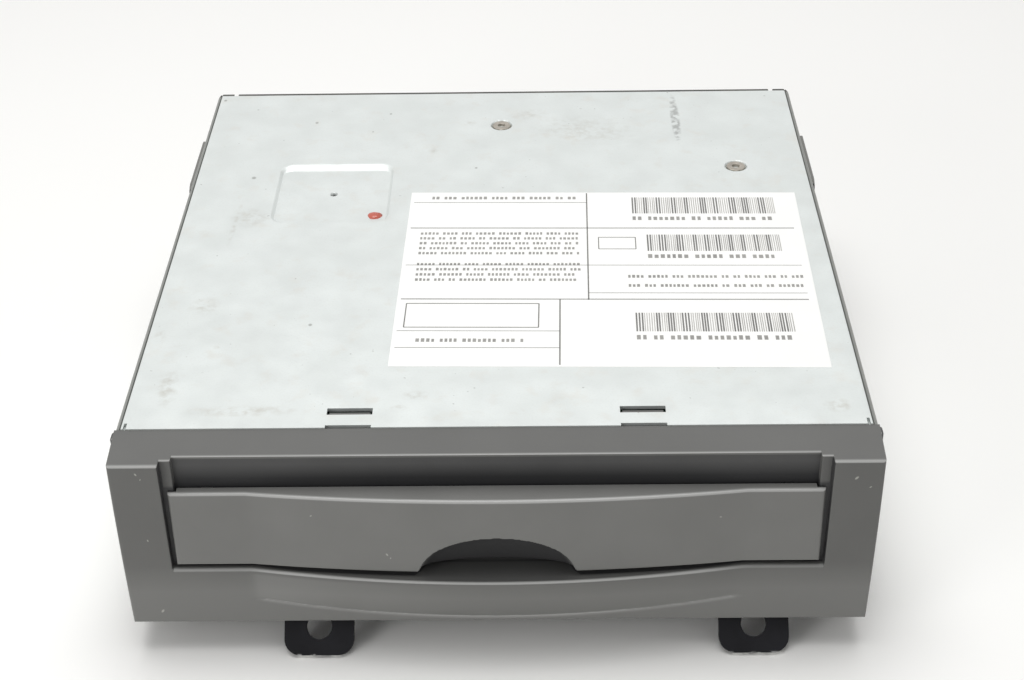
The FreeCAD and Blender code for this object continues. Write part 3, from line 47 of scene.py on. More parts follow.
# Viewpoint: a long lens above and a little to the right of the unit's middle, looking down at
# its front. Depths here and below count in millimetres from the flat front of the fascia.
cover_low, cover_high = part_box("top_cover")
fascia_depth = 13.8
front_y = cover_low.y / MM - fascia_depth
cover_top = cover_high.z / MM
fascia_top = cover_top - 0.3
yaw, pitch, roll = 0.0151, 0.6022, 0.0171
ahead = Vector((-math.sin(yaw) * math.cos(pitch), math.cos(yaw) * math.cos(pitch), -math.sin(pitch)))
level = Vector((math.cos(yaw), math.sin(yaw), 0))
down = ahead.cross(level)
right = level * math.cos(roll) + down * math.sin(roll)
up = level * math.sin(roll) - down * math.cos(roll)
camera = bpy.data.objects.new("camera", bpy.data.cameras.new("camera"))
camera.data.lens = 62.62
camera.data.sensor_width = 36
camera.data.clip_start = 0.01
place = Vector((9.115, -317.04 + front_y, 252.11 + fascia_top)) * MM
camera.matrix_world = Matrix.Translation(place) @ Matrix((right, up, -ahead)).transposed().to_4x4()
bpy.context.scene.collection.objects.link(camera)
bpy.context.scene.camera = camera
bpy.context.scene.view_settings.view_transform = "Standard"


# Studio: a white table, a large soft box above, a small weak one low in front to the left, and
# white walls. The table stays paper white to the eye and keeps the unit's soft shadow.
def new_finish(name, colour, roughness, metallic=0.0):
    """A material with one Principled shader and its plain values set."""
    finish = bpy.data.materials.new(name)
    finish.use_nodes = True
    shader = finish.node_tree.nodes["Principled BSDF"]
    shader.inputs["Base Color"].default_value = (*colour, 1)
    shader.inputs["Roughness"].default_value = roughness
    shader.inputs["Metallic"].default_value = metallic
    return finish, finish.node_tree, shader


def soft_box(name, spot, aim, width, height, watts):
    """A rectangular area lamp at spot that faces aim."""
    lamp = bpy.data.lights.new(name, "AREA")
    lamp.shape = "RECTANGLE"
    lamp.size, lamp.size_y = width, height
    lamp.energy = watts
    box = bpy.data.objects.new(name, lamp)
    box.location = spot
    box.rotation_euler = (Vector(aim) - Vector(spot)).to_track_quat("-Z", "Y").to_euler()
    bpy.context.scene.collection.objects.link(box)


def reckon(tree, operation, one, other):
    """The result of one operation on two amounts, each a socket or a number."""
    step = tree.nodes.new("ShaderNodeMath")
    step.operation = operation
    for i, amount in enumerate((one, other)):
        if isinstance(amount, (int, float)):
            step.inputs[i].default_value = amount
        else:
            tree.links.new(amount, step.inputs[i])
    return step.outputs[0]


unit_middle = (0, 0, 0.03)
soft_box("box_above", (-0.04, 0.04, 1.0), unit_middle, 0.7, 0.7, 6.7)
soft_box("box_front", (-0.5, -0.55, 0.3), unit_middle, 0.3, 0.3, 1.3)
walls = bpy.data.worlds.new("walls")
walls.use_nodes = True
bpy.context.scene.world = walls
paint = walls.node_tree.nodes["Background"]
paint.inputs["Color"].default_value = (1, 1, 1, 1)
wall_light, wall_sight = 0.40, 1.0
ray = walls.node_tree.nodes.new("ShaderNodeLightPath").outputs
seen = reckon(walls.node_tree, "MAXIMUM", ray["Is Camera Ray"], ray["Is Glossy Ray"])
seen = reckon(walls.node_tree, "MAXIMUM", seen, ray["Is Transmission Ray"])
strength = walls.node_tree.nodes.new("ShaderNodeMix")
strength.inputs[2].default_value = wall_light
strength.inputs[3].default_value = wall_sight
walls.node_tree.links.new(seen, strength.inputs[0])
walls.node_tree.links.new(strength.outputs[0], paint.inputs["Strength"])

table_mesh = bpy.data.meshes.new("table")
table_half = 3.0
table_mesh.from_pydata([(table_half * x, table_half * y, 0) for x, y in ((-1, -1), (1, -1), (1, 1), (-1, 1))],
                       [], [(0, 1, 2, 3)])
table = bpy.data.objects.new("table", table_mesh)
bpy.context.scene.collection.objects.link(table)
table_mesh.materials.append(new_finish("table_white", (0.965, 0.96, 0.94), 0.6)[0])


# Finish of every piece: its colour wanders a little, its gloss with it, and a fine grain lifts
# the surface. Grain sizes are in millimetres.
def noise(tree, size, detail, low, high, start=0.0, end=1.0):
    """A noise of that grain in millimetres, spread evenly from start at low to end at high."""
    make, join = tree.nodes.new, tree.links.new
    where, field, spread = make("ShaderNodeTexCoord"), make("ShaderNodeTexNoise"), make("ShaderNodeMapRange")
    field.inputs["Scale"].default_value = 1 / (size * MM)
    field.inputs["Detail"].default_value = detail
    join(where.outputs["Object"], field.inputs["Vector"])
    for socket, value in (("From Min", low), ("From Max", high), ("To Min", start), ("To Max", end)):
        spread.inputs[socket].default_value = value
    join(field.outputs["Fac"], spread.inputs["Value"])
    return spread.outputs["Result"]


def lay_over(tree, colour, amount, under=None):
    """Lays a colour by an amount over what reaches the shader's base colour, or over a plain one."""
    base = tree.nodes["Principled BSDF"].inputs["Base Color"]
    mix = tree.nodes.new("ShaderNodeMix")
    mix.data_type = "RGBA"
    if under:
        mix.inputs[6].default_value = (*under, 1)
    else:
        tree.links.new(base.links[0].from_socket, mix.inputs[6])
    mix.inputs[7].default_value = (*colour, 1)
    tree.links.new(amount, mix.inputs[0])
    tree.links.new(mix.outputs[2], base)


def lift_by(tree, height, relief, strength):
    """Bumps the surface by a height amount, at most the relief in millimetres."""
    lift = tree.nodes.new("ShaderNodeBump")
    lift.inputs["Distance"].default_value = relief * MM
    lift.inputs["Strength"].default_value = strength
    tree.links.new(height, lift.inputs["Height"])
    tree.links.new(lift.outputs["Normal"], tree.nodes["Principled BSDF"].inputs["Normal"])


def moulding(name, colour, roughness, metallic=0.0, grain=0.5, relief=0.02, wander=0.12, blotch=9.0):
    """A finish whose colour and gloss vary with a broad noise and whose relief is a fine noise."""
    finish, tree, shader = new_finish(name, colour, roughness, metallic)
    darker, paler = [c * (1 - wander) for c in colour], [min(c * (1 + wander), 1) for c in colour]
    lay_over(tree, paler, noise(tree, blotch, 4, 0.3, 0.7), darker)
    gloss = noise(tree, blotch, 4, 0, 1, roughness * 0.88, min(roughness * 1.12, 1))
    tree.links.new(gloss, shader.inputs["Roughness"])
    lift_by(tree, noise(tree, grain, 3, 0, 1), relief, 0.6)
    return finish


def dress(finish, *names):
    """Gives CAD nodes a finish."""
    for name in names:
        mesh = nodes[name].data
        mesh.materials.clear()
        mesh.materials.append(finish)


# Fascia: one dark grey moulding with a spark-eroded surface, its edges slightly rounded.
# The door's recess is open at the top, and below it the face swells out into a lip.
def grid_lines(low, high, step, *clusters):
    """Coordinates a step apart, and extra ones in each cluster of (from, to, count)."""
    lines = [np.linspace(low, high, int((high - low) / step) + 1)]
    lines += [np.linspace(*cluster) for cluster in clusters]
    merged = np.unique(np.round(np.concatenate(lines), 3))
    return merged[(merged >= low) & (merged <= high)]


def rolled_edge(inward, radius):
    """Depth lost at a rounded edge: a quarter circle over the last radius, none further in."""
    near = np.clip(radius - inward, 0, radius)
    return radius - np.sqrt(radius ** 2 - near ** 2)


wall_draft = 0.08


def sunk(into, depth, roll):
    """Depth over a step: the face rolls over its edge, then a steep wall drops to depth.
    into is the distance past the edge, negative on the face."""
    face = rolled_edge(np.maximum(-into, 0), roll)
    wall = roll + (depth - roll) * np.clip(into / wall_draft, 0, 1)
    return np.where(into < 0, face, wall)


def eased(value, low, high):
    """From none at low to one at high, along a smooth curve."""
    t = np.clip((value - low) / (high - low), 0, 1)
    return t * t * (3 - 2 * t)


def bow(reach, half, rise):
    """Height of a circle's arc over its chord: rise at the middle, none at half."""
    radius = (half ** 2 + rise ** 2) / (2 * rise)
    return np.sqrt(np.maximum(radius ** 2 - reach ** 2, 0)) - (radius - rise)


def piece_from(name, points, quads, smooth=32):
    """A mesh object from points in millimetres and corner numbers, its faces turned outwards."""
    points, first = np.unique(np.round(points, 4), axis=0, return_inverse=True)
    quads = first.reshape(-1)[quads]
    a, b, c, e = (points[quads[:, i]] for i in range(4))
    volume = np.sum(a * np.cross(b, c)) + np.sum(a * np.cross(c, e))
    if volume < 0:
        quads = quads[:, ::-1]
    faces = [tuple(dict.fromkeys(q)) for q in quads.tolist()]
    mesh = bpy.data.meshes.new(name)
    mesh.from_pydata((points * MM).tolist(), [], [f for f in faces if len(f) > 2])
    mesh.validate()
    mesh.shade_smooth()
    mesh.set_sharp_from_angle(angle=math.radians(smooth))
    piece = bpy.data.objects.new(name, mesh)
    bpy.context.scene.collection.objects.link(piece)
    even = piece.modifiers.new("even_shading", "WEIGHTED_NORMAL")
    even.keep_sharp = True
    return piece


def slab(front, back, keep=None):
    """Points and quads of a closed wall between two grids of points. Cells that keep leaves out
    are holes, and every open edge, of a hole or of the outline, is bridged from front to back."""
    rows, columns = front.shape[:2]
    if keep is None:
        keep = np.ones((rows - 1, columns - 1), bool)
    number = np.arange(rows * columns).reshape(rows, columns)
    low = rows * columns
    a, b, c, e = number[:-1, :-1], number[1:, :-1], number[1:, 1:], number[:-1, 1:]
    quads = [np.stack([a, b, c, e], -1)[keep], np.stack([e, c, b, a], -1)[keep] + low]
    room = np.pad(keep, 1)
    for start, end, shift in ((a, b, (0, -1)), (b, c, (1, 0)), (c, e, (0, 1)), (e, a, (-1, 0))):
        beside = room[1 + shift[0]:rows + shift[0], 1 + shift[1]:columns + shift[1]]
        open_edge = keep & ~beside
        s, t = start[open_edge], end[open_edge]
        quads.append(np.stack([t, s, s + low, t + low], -1))
    points = np.concatenate([front.reshape(-1, 3), back.reshape(-1, 3)])
    return points, np.concatenate(quads)


def rounded_block(low, high, radius, steps=4):
    """Points and quads of a box with rounded edges: each point of a plain box is pulled to
    the radius from the smaller box inside it."""
    low, high = np.array(low, float), np.array(high, float)
    turn = np.linspace(-1, 1, 2 * steps + 1)
    points, quads, lines = [], [], []
    for axis in range(3):
        near = low[axis] + radius * (1 + turn[:steps + 1])
        far = high[axis] - radius * (1 - turn[steps:])
        lines.append(np.concatenate([near, far]))
    for axis in range(3):
        u_axis, v_axis = (axis + 1) % 3, (axis + 2) % 3
        for end in (low[axis], high[axis]):
            u, v = np.meshgrid(lines[u_axis], lines[v_axis], indexing="ij")
            patch = np.zeros((*u.shape, 3))
            patch[..., axis], patch[..., u_axis], patch[..., v_axis] = end, u, v
            core = np.clip(patch, low + radius, high - radius)
            away = patch - core
            patch = core + radius * away / np.linalg.norm(away, axis=-1, keepdims=True)
            number = np.arange(u.size).reshape(u.shape) + sum(len(p) for p in points)
            corners = (number[:-1, :-1], number[1:, :-1], number[1:, 1:], number[:-1, 1:])
            ring = np.stack(corners, -1).reshape(-1, 4)
            quads.append(ring if end == high[axis] else ring[:, ::-1])
            points.append(patch.reshape(-1, 3))
    return np.concatenate(points), np.concatenate(quads)


def together(*parts):
    """Several (points, quads) as one."""
    points, quads, count = [], [], 0
    for part_points, part_quads in parts:
        points.append(part_points)
        quads.append(part_quads + count)
        count += len(part_points)
    return np.concatenate(points), np.concatenate(quads)


fascia_half, fascia_flare, fascia_foot, fascia_wall = 88.65, 0.6, fascia_top - 48.25, 2.2
side_swell, swell_drop, swell_run = 0.2, 20.0, 25.0
rail_half, recess_half, rail_back, recess_back = 77.0, 74.3, 2.15, 3.6
recess_wall, recess_sheet = 1.6, 2.0
lip_drop, lip_roll, step_roll, rim_roll = 31.2, 1.0, 0.3, 0.65
lip_z = fascia_top - lip_drop
ledge = 0.05
slot_z, slot_half, slot_tall, slot_rim, slot_deep = fascia_top - 26.2, 61.0, 3.0, 1.4, 9.0
eject_x, eject_half, eject_tall = 68.4, 3.85, 2.55
hook_x, hook_half, hook_foot, hook_head = 67.0, 1.5, 35.8, 48.5
bow_half, bow_out, swell_end, shelf_end = 58.0, 5.9, 58.2, 56.0
crease_high, crease_low, shelf, shelf_fade = 40.3, 46.8, 0.25, 2.6
door_arc_half, door_arc_out, scoop_half, scoop_flare = 58.0, 3.6, 18.0, 1.0
scoop_edge = scoop_half + scoop_flare


def lip_bow(reach):
    """How far the lip swells out: a circle's arc across, none past its ends."""
    return np.maximum(bow(reach, bow_half, bow_out), 0)


def crease_drop(reach):
    """Drop of the lower crease: it follows the swell's arc from the ends down to the middle."""
    return crease_high + (crease_low - crease_high) * lip_bow(reach) / bow_out


def door_arc(reach):
    """How far the door's face bows out: a circle's arc across, none past its ends."""
    return np.maximum(bow(reach, door_arc_half, door_arc_out), 0)


def door_line(reach):
    """Depth of the closed door's lower edge: the arc of its face, set back in the scoop's mouth."""
    arc = door_arc(reach)
    return -arc + (arc + 1.6) * eased(-reach, -scoop_edge, -16.5)


def fascia_front(x, z):
    """Depth of the face: steps down to the rails and the recess, swells out under them along an
    arc that dies away to a lower crease with a small rounded shelf, and rolls over at its edges.
    The lip's flat top runs back under the door in rows, a hair apart in height."""
    reach, drop = np.abs(x), fascia_top - z
    rise = lip_bow(reach)
    crease = crease_drop(reach)
    swell = rise * np.clip((crease - drop) / (crease - lip_drop), 0, 1)
    below = drop - crease
    roll = 0.5 * rolled_edge(np.maximum(below, 0), 2 * shelf)
    fade = shelf * np.exp(np.minimum(below, 0) / shelf_fade)
    swell = swell - eased(-reach, -swell_end, -shelf_end) * np.where(below > 0, roll, fade)
    steps = sunk(rail_half - reach, rail_back, step_roll)
    steps = steps + sunk(recess_half - reach, recess_back - rail_back, step_roll)
    lip = np.where(reach < rail_half, rolled_edge(np.maximum(lip_z - z, 0), lip_roll), 0)
    face = np.where(z > lip_z + ledge / 2, steps, lip - swell)
    shade = np.maximum(door_line(reach) + 0.2, lip_roll - rise + 0.1)
    for share, behind in ((0.2, lip_roll - rise + 0.25), (0.6, shade + 0.2), (0.8, shade + 0.5)):
        on_row = (np.abs(z - lip_z - share * ledge) < 0.002) & (reach < rail_half - wall_draft)
        face = np.where(on_row, behind, face)
    inward = np.minimum(np.minimum(fascia_half - reach, fascia_top - z), z - fascia_foot)
    edge_roll = np.where((reach < rail_half) & (z > lip_z), step_roll, rim_roll)
    return face + rolled_edge(np.maximum(inward, 0), edge_roll)


def fascia_rear(x, z):
    """Depth of the back: full depth round the rim and round the slot, a thin wall elsewhere."""
    reach = np.abs(x)
    inward = np.minimum(np.minimum(fascia_half - reach, fascia_top - z), z - fascia_foot)
    depth = np.full_like(x, fascia_wall)
    depth[(reach < rail_half + recess_wall) & (z > lip_z - fascia_wall)] = recess_back + recess_sheet
    round_slot = (reach < slot_half + slot_rim) & (np.abs(z - slot_z) < slot_tall + slot_rim)
    depth[round_slot] = recess_back + slot_deep
    depth[inward < fascia_wall] = fascia_depth
    return depth


def around(centre, half, count):
    """One cluster of grid lines about a centre."""
    return centre - half, centre + half, count


def sides(value, width, count=2):
    """Two clusters of grid lines, about plus and minus a value."""
    return [around(s * value, width, count) for s in (-1, 1)]


hair, thin, edge_band = 0.001, 0.02, 0.8
x_lines = grid_lines(
    -fascia_half, fascia_half, 1.5,
    *[(s * (fascia_half - band), s * fascia_half, count)
      for s in (-1, 1) for band, count in ((edge_band, 7), (hair, 2))],
    *sides(rail_half, 0.5, 9), *sides(rail_half, wall_draft),
    *sides(recess_half, 0.3, 5), *sides(recess_half, wall_draft),
    *sides(fascia_half - fascia_wall, thin), *sides(rail_half + recess_wall, thin),
    *sides(slot_half, 0), *sides(slot_half + slot_rim, thin), around(eject_x, eject_half, 2),
    *sides(hook_x - hook_half, 0), *sides(hook_x + hook_half, 0),
)
z_lines = grid_lines(
    fascia_foot, fascia_top, 0.8,
    (fascia_foot, fascia_foot + edge_band, 7), (fascia_top - edge_band, fascia_top, 7),
    (fascia_foot, fascia_foot + hair, 2), (fascia_top - hair, fascia_top, 2),
    (lip_z - lip_roll, lip_z, 9), (lip_z + 0.2 * ledge, lip_z + ledge, 5),
    (fascia_top - crease_low - 0.8, fascia_top - crease_high + 0.5, 79),
    *[around(level_z, thin, 2) for level_z in
      (fascia_foot + fascia_wall, fascia_top - fascia_wall, lip_z - fascia_wall)],
    *[around(slot_z + s * tall, thin, 3) for s in (-1, 1) for tall in (slot_tall, slot_tall + slot_rim)],
    around(slot_z, eject_tall, 2), (hook_foot, hook_head, 2),
)
x, z = np.meshgrid(x_lines, z_lines, indexing="ij")
front_depth, rear_depth = fascia_front(x, z), fascia_rear(x, z)
middle_x, middle_z = (x[:-1, :-1] + x[1:, 1:]) / 2, (z[:-1, :-1] + z[1:, 1:]) / 2
hole = (np.abs(middle_x) < slot_half) & (np.abs(middle_z - slot_z) < slot_tall)
hole |= (np.abs(middle_x - eject_x) < eject_half) & (np.abs(middle_z - slot_z) < eject_tall)
hook_hole = np.abs(np.abs(middle_x) - hook_x) < hook_half
hole |= hook_hole & (middle_z > hook_foot) & (middle_z < hook_head)
flat_run = 0.4
for rim in (front_depth[0], front_depth[-1], front_depth[:, 0], front_depth[:, -1]):
    rim += flat_run


def drafted(x, depth, z):
    """Points of the moulding: it widens evenly towards its back, as the mould needs, and its
    sides swell a little at mid height, along a parabola."""
    swell = side_swell * (1 - ((fascia_top - z - swell_drop) / swell_run) ** 2)
    wider = 1 + (fascia_flare * np.clip(depth / fascia_depth, 0, 1) + swell) / fascia_half
    return np.stack([x * wider, depth + front_y, z], -1)


def read_rows(items, field):
    """A field of a mesh's points or faces, as rows of three numbers."""
    values = np.empty(len(items) * 3, np.float32)
    items.foreach_get(field, values)
    return values.reshape(-1, 3)


def edge_light_and_polish(piece, creased=False, painted_shade=None):
    """Marks each point with painted light and some real polish: a painted highlight where an edge is
    turned up and forwards, the product of its normal's rise and its lean to the front, where hands and
    cloths also polish the spark surface. Along the lower crease a painted highlight falls off as a
    bell curve of the distance, and on the face above the crease a faint painted light grows to the
    left. Where the given shade marks a point, the mark is negative, painted shade down to minus one."""
    normals = read_rows(piece.data.vertices, "normal")
    polish_and_painted_light = eased(normals[:, 2], 0.18, 0.48) * eased(-normals[:, 1], 0.18, 0.46)
    across, depth, height = (read_rows(piece.data.vertices, "co") / MM).T
    if creased:
        # Painted highlight along the crease, painted light growing leftwards on the cheek, and the lip's
        # painted highlight dimmed towards its ends.
        line_half, crease_painted_highlight, cheek_painted_light = 0.42, 0.42, 0.16
        reach, on_face = np.abs(across), depth < front_y + 1
        on_edge = (height < lip_z + 0.1) & (height > lip_z - 1.5)
        polish_and_painted_light *= 1 - on_edge * eased(reach, 46, 62) * np.where(across < 0, 0.35, 0.65)
        away = fascia_top - height - crease_drop(reach)
        line = np.exp(-((away - shelf) / line_half) ** 2) * eased(-reach, -swell_end, -55.5)
        polish_and_painted_light = np.maximum(polish_and_painted_light, crease_painted_highlight * line * on_face)
        cheek = eased(-reach, -59.5, -56.5) * eased(away, 0.6, -0.6)
        cheek *= (height < lip_z - 1.2) & on_face
        polish_and_painted_light = np.maximum(polish_and_painted_light, cheek_painted_light * cheek * eased(-across, 0, 55))
    # Painted shade: the given function's amount is taken off the mark.
    if painted_shade:
        polish_and_painted_light = polish_and_painted_light - painted_shade(across, depth - front_y, height)
    piece.data.attributes.new("polish_and_painted_light", "FLOAT", "POINT").data.foreach_set("value", polish_and_painted_light.astype(np.float32))


def in_gaps(across, depth, height):
    """How far a point of the fascia is shut off from light by the door: on the lip behind the
    door's lower edge, in the gaps beside the door, and a little on the lip inside the scoop."""
    reach = np.abs(across)
    shut_gap, shut_wall, shut_rail, shut_lip = 0.97, 0.95, 0.2, 0.22
    on_lip = (height > lip_z + 0.1 * ledge) & (height < lip_z + 1.1 * ledge) & (reach < rail_half)
    behind = on_lip & (height > lip_z + 0.7 * ledge)
    within = (height > lip_z + ledge) & (height < fascia_top - 0.5)
    beside = within & (reach < rail_half) & (reach > recess_half - 0.3) & (depth > 1.2)
    shut = np.where(beside, np.where(height < fascia_top - 8.0, shut_gap, shut_rail), 0.0)
    wall = within & (np.abs(reach - rail_half) < 0.2)
    shut = np.where(wall, shut_wall, shut)
    shut = np.where(on_lip, shut_lip + 0.24 * eased(-reach, -scoop_edge, -16), shut)
    return np.where(behind, shut_gap, shut) * (depth < recess_back + 0.6)


def twin_blocks(x, half, near, far, foot, head, radius):
    """A rounded block at x and its twin at minus x, each half wide to either side of it."""
    return [rounded_block((s * x - half, front_y + near, foot), (s * x + half, front_y + far, head), radius)
            for s in (-1, 1)]


shell = slab(drafted(x, front_depth, z), drafted(x, rear_depth, z), ~hole)
snap_x, snap_half, snap_round, slot_front = 34.6, 4.9, 0.15, 18.8
snap_end = slot_front + 1.45
snap_arms, snap_barbs = (
    twin_blocks(snap_x, snap_half, near, snap_end, cover_top - drop, cover_top - head_drop, snap_round)
    for near, drop, head_drop in ((fascia_depth - 2, 2.5, 1.2), (slot_front + 0.2, 2.2, 0.45)))
lug_in, lug_out, lug_top, lug_tall = 87.6, 89.95, fascia_top - 0.3, 3.2
lugs = twin_blocks((lug_in + lug_out) / 2, (lug_out - lug_in) / 2, 10.8, fascia_depth,
                   lug_top - lug_tall, lug_top, 0.7)
fascia = piece_from("fascia_moulding", *together(shell, *lugs, *snap_arms, *snap_barbs))
# Painted highlight on the fascia's edges and crease, and painted shade in the gaps round the door.
edge_light_and_polish(fascia, creased=True, painted_shade=in_gaps)


def spot(tree, centre, radii, tilt=(0, 0, 0), soft=0.6):
    """How far a point lies inside an ellipsoid, in millimetres: one within it, none past its skin,
    and an even fall over the soft share of its radius."""
    make, join = tree.nodes.new, tree.links.new
    where, fit = make("ShaderNodeTexCoord"), make("ShaderNodeMapping")
    fit.vector_type = "TEXTURE"
    fit.inputs["Location"].default_value = [c * MM for c in centre]
    fit.inputs["Rotation"].default_value = tilt
    fit.inputs["Scale"].default_value = [r * MM for r in radii]
    join(where.outputs["Object"], fit.inputs["Vector"])
    reach, fall = make("ShaderNodeVectorMath"), make("ShaderNodeMapRange")
    reach.operation = "LENGTH"
    join(fit.outputs["Vector"], reach.inputs[0])
    fall.inputs["From Min"].default_value = 1.0
    fall.inputs["From Max"].default_value = 1.0 - soft
    join(reach.outputs["Value"], fall.inputs["Value"])
    return fall.outputs["Result"]


endless = 1000.0
nicks = ((-82.2, 2.3, 0.5), (-81.3, 3.8, 0.3), (-81.9, 22.1, 0.4), (-81.1, 44.4, 0.7), (82.4, 4.8, 0.7),
         (85.8, 7.5, 0.4), (-42.9, 14.1, 0.35), (-25.7, 24.6, 0.5), (-24.9, 25.6, 0.3), (52.0, 16.0, 0.35))


def along_axis(tree, axis, low, high, mirrored=False):
    """None at low and one at high, in millimetres along an axis or, mirrored, away from its middle."""
    where, parts = tree.nodes.new("ShaderNodeTexCoord"), tree.nodes.new("ShaderNodeSeparateXYZ")
    run = tree.nodes.new("ShaderNodeMapRange")
    tree.links.new(where.outputs["Object"], parts.inputs[0])
    run.inputs["From Min"].default_value = low * MM
    run.inputs["From Max"].default_value = high * MM
    place = parts.outputs[axis]
    tree.links.new(reckon(tree, "ABSOLUTE", place, 0.0) if mirrored else place, run.inputs["Value"])
    return run.outputs["Result"]


def plastic_with_painted_light(name, colour, painted_light_foot_colour):
    """Spark-eroded plastic: painted light makes it a shade lighter towards its foot, the point mark lays
    a painted highlight on edges that it also makes glossier and painted shade where it is negative,
    and pale nicks at stated places, each turned its own way."""
    finish = moulding(name, colour, 0.46, grain=0.28, relief=0.03, wander=0.06, blotch=22)
    tree = finish.node_tree
    # Painted light and shade: darker above and lighter towards the foot, as the light falls on the face.
    lay_over(tree, painted_light_foot_colour, along_axis(tree, "Z", lip_z + 1, lip_z - 7))
    nicked = 0.0
    for nick_x, drop, size in nicks:
        nick = spot(tree, (nick_x, 0, fascia_top - drop), (size * 0.5, endless, size), (0, nick_x, 0), 0.5)
        nicked = reckon(tree, "MAXIMUM", nick, nicked)
    nick_colour, painted_highlight, unlit = (0.42, 0.42, 0.38), (0.36, 0.36, 0.35), (0.03, 0.03, 0.031)
    lay_over(tree, nick_colour, reckon(tree, "MULTIPLY", nicked, 0.8))
    # Painted highlight and painted shade from the point mark; the highlighted edges are also glossier.
    polish_and_painted_light = tree.nodes.new("ShaderNodeAttribute")
    polish_and_painted_light.attribute_name = "polish_and_painted_light"
    lay_over(tree, painted_highlight, polish_and_painted_light.outputs["Fac"])
    lay_over(tree, unlit, reckon(tree, "MULTIPLY", polish_and_painted_light.outputs["Fac"], -1.0))
    rough, smooth = tree.nodes["Principled BSDF"].inputs["Roughness"], tree.nodes.new("ShaderNodeMix")
    smooth.inputs[3].default_value = 0.3
    tree.links.new(polish_and_painted_light.outputs["Fac"], smooth.inputs[0])
    tree.links.new(rough.links[0].from_socket, smooth.inputs[2])
    tree.links.new(smooth.outputs[0], rough)
    return finish


def recess_in_painted_shade():
    """The recess: the same plastic painted darker as shade, never polished, and painted black deep
    down by the door as deeper shade. Its colour falls evenly with the drop below the fascia's top."""
    grey, black = (0.054, 0.054, 0.054), (0.005, 0.005, 0.006)
    finish = moulding("recess_painted_shade", grey, 0.6, grain=0.28, relief=0.03, wander=0.1, blotch=9)
    lay_over(finish.node_tree, black, along_axis(finish.node_tree, "Z", fascia_top - 2.5, fascia_top - 6.5))
    return finish


# The fascia's dark upper colour and light foot colour are painted shade and painted light over one plastic.
fascia.data.materials.append(plastic_with_painted_light("spark_plastic", (0.108, 0.108, 0.103), (0.163, 0.163, 0.156)))
# Second finish: the recess painted dark as shade.
fascia.data.materials.append(recess_in_painted_shade())


def sunk_faces(piece):
    """Gives the second finish, painted shade, to the recess between its rails, to the snap arms
    and to the lugs.
    """
    across, depth, height = (read_rows(piece.data.polygons, "center") / MM).T
    depth = depth - front_y
    inside = (np.abs(across) < recess_half + 0.05) & (depth > 2.4)
    inside &= (height > lip_z + ledge) & (height < fascia_top - 0.7)
    inside &= depth < recess_back + slot_deep + 0.1
    inside |= (depth > fascia_depth + 0.02) & (height < cover_top - 1.0)
    inside |= np.abs(across) > fascia_half + fascia_flare + side_swell + 0.02
    piece.data.polygons.foreach_set("material_index", inside.astype(np.int32))


sunk_faces(fascia)
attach(fascia, "root")
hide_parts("fascia")


# Dust door: the same plastic, a bowed panel with thin edges that run on the fascia's rails.
# A finger scoop is pressed into its lower edge, its mouth flaring out at the bottom.
door_half, door_foot, door_head = 76.0, fascia_top - 29.9, fascia_top - 8.9
door_thick, end_thick, end_half = 3.3, 1.85, recess_half - 0.3
door_roll, door_lean = 0.8, 0.95
scoop_tall, scoop_deep, scoop_soft = 10.3, 5.2, 0.12


def plain_face(reach, z):
    """Depth of the door's face without its scoop: an arc across that leans back evenly upwards."""
    return door_lean * (z - door_foot) / (door_head - door_foot) - door_arc(reach)


def smooth_positive(value, soft):
    """The value where it is positive and none where it is negative, with a rounded turn."""
    return 0.5 * (value + np.sqrt(value ** 2 + soft ** 2))


def door_front(x, z):
    """Depth of the door's face: the plain face less the bowl of the scoop, a flattened ellipsoid
    whose mouth widens at the bottom, and rolled at the edges."""
    reach, rise = np.abs(x), z - door_foot
    face = plain_face(reach, z)
    mouth = scoop_half + scoop_flare * np.exp(-rise / 0.8)
    inside = np.maximum(1 - (reach / mouth) ** 2 - (rise / scoop_tall) ** 2, 0)
    bowl = scoop_deep * inside ** 0.36 - door_arc_out
    face = face + smooth_positive(bowl - face, scoop_soft) * (inside > 0)
    edge = np.minimum(np.minimum(door_half - reach, door_head - z), rise)
    return face + rolled_edge(np.maximum(edge, 0), door_roll)


def door_rear(x, z):
    """Depth of the door's back: thinner where its ends run over the rails."""
    return np.where(np.abs(x) < end_half, door_thick, end_thick)


x_lines = grid_lines(
    -door_half, door_half, 1.5, *[(s * (door_half - door_roll), s * door_half, 7) for s in (-1, 1)],
    *sides(end_half, thin), around(0, scoop_edge + 2, 127),
)
z_lines = grid_lines(door_foot, door_head, 0.8, (door_foot, door_foot + door_roll, 7),
                     (door_head - door_roll, door_head, 7), (door_foot + door_roll, door_foot + 11, 43),
                     (door_head - hair, door_head, 2))
x, z = np.meshgrid(x_lines, z_lines, indexing="ij")
front_depth = door_front(x, z)
front_depth[:, -1] += 0.2
panel = slab(np.stack([x, front_depth + front_y, z], -1), np.stack([x, door_rear(x, z) + front_y, z], -1))
hook_low, hook_high, hook_back = hook_foot + 0.3, hook_foot + 3.5, 7.1
hook_stems, hook_heads = (twin_blocks(hook_x, half, near, hook_back, hook_low, hook_high, 0.2)
                          for half, near in ((1.2, 2.8), (2.6, 5.9)))
door = piece_from("door_panel", *together(panel, *hook_stems, *hook_heads))


def scoop_painted_shade(across, depth, height):
    """Painted shade in the scoop's bowl: how deep a point of the door lies behind the plain face."""
    within = (np.abs(across) < scoop_edge + 1) & (height < door_foot + scoop_tall + 0.7)
    return np.clip((depth - plain_face(np.abs(across), height) - 0.3) / 2.2, 0, 1) * within


# Painted highlight on the door's edges and painted shade in its scoop.
edge_light_and_polish(door, painted_shade=scoop_painted_shade)
door.data.materials.append(plastic_with_painted_light("door_plastic", (0.160, 0.160, 0.153), (0.166, 0.166, 0.159)))
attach(door, "door")
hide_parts("dust_door")


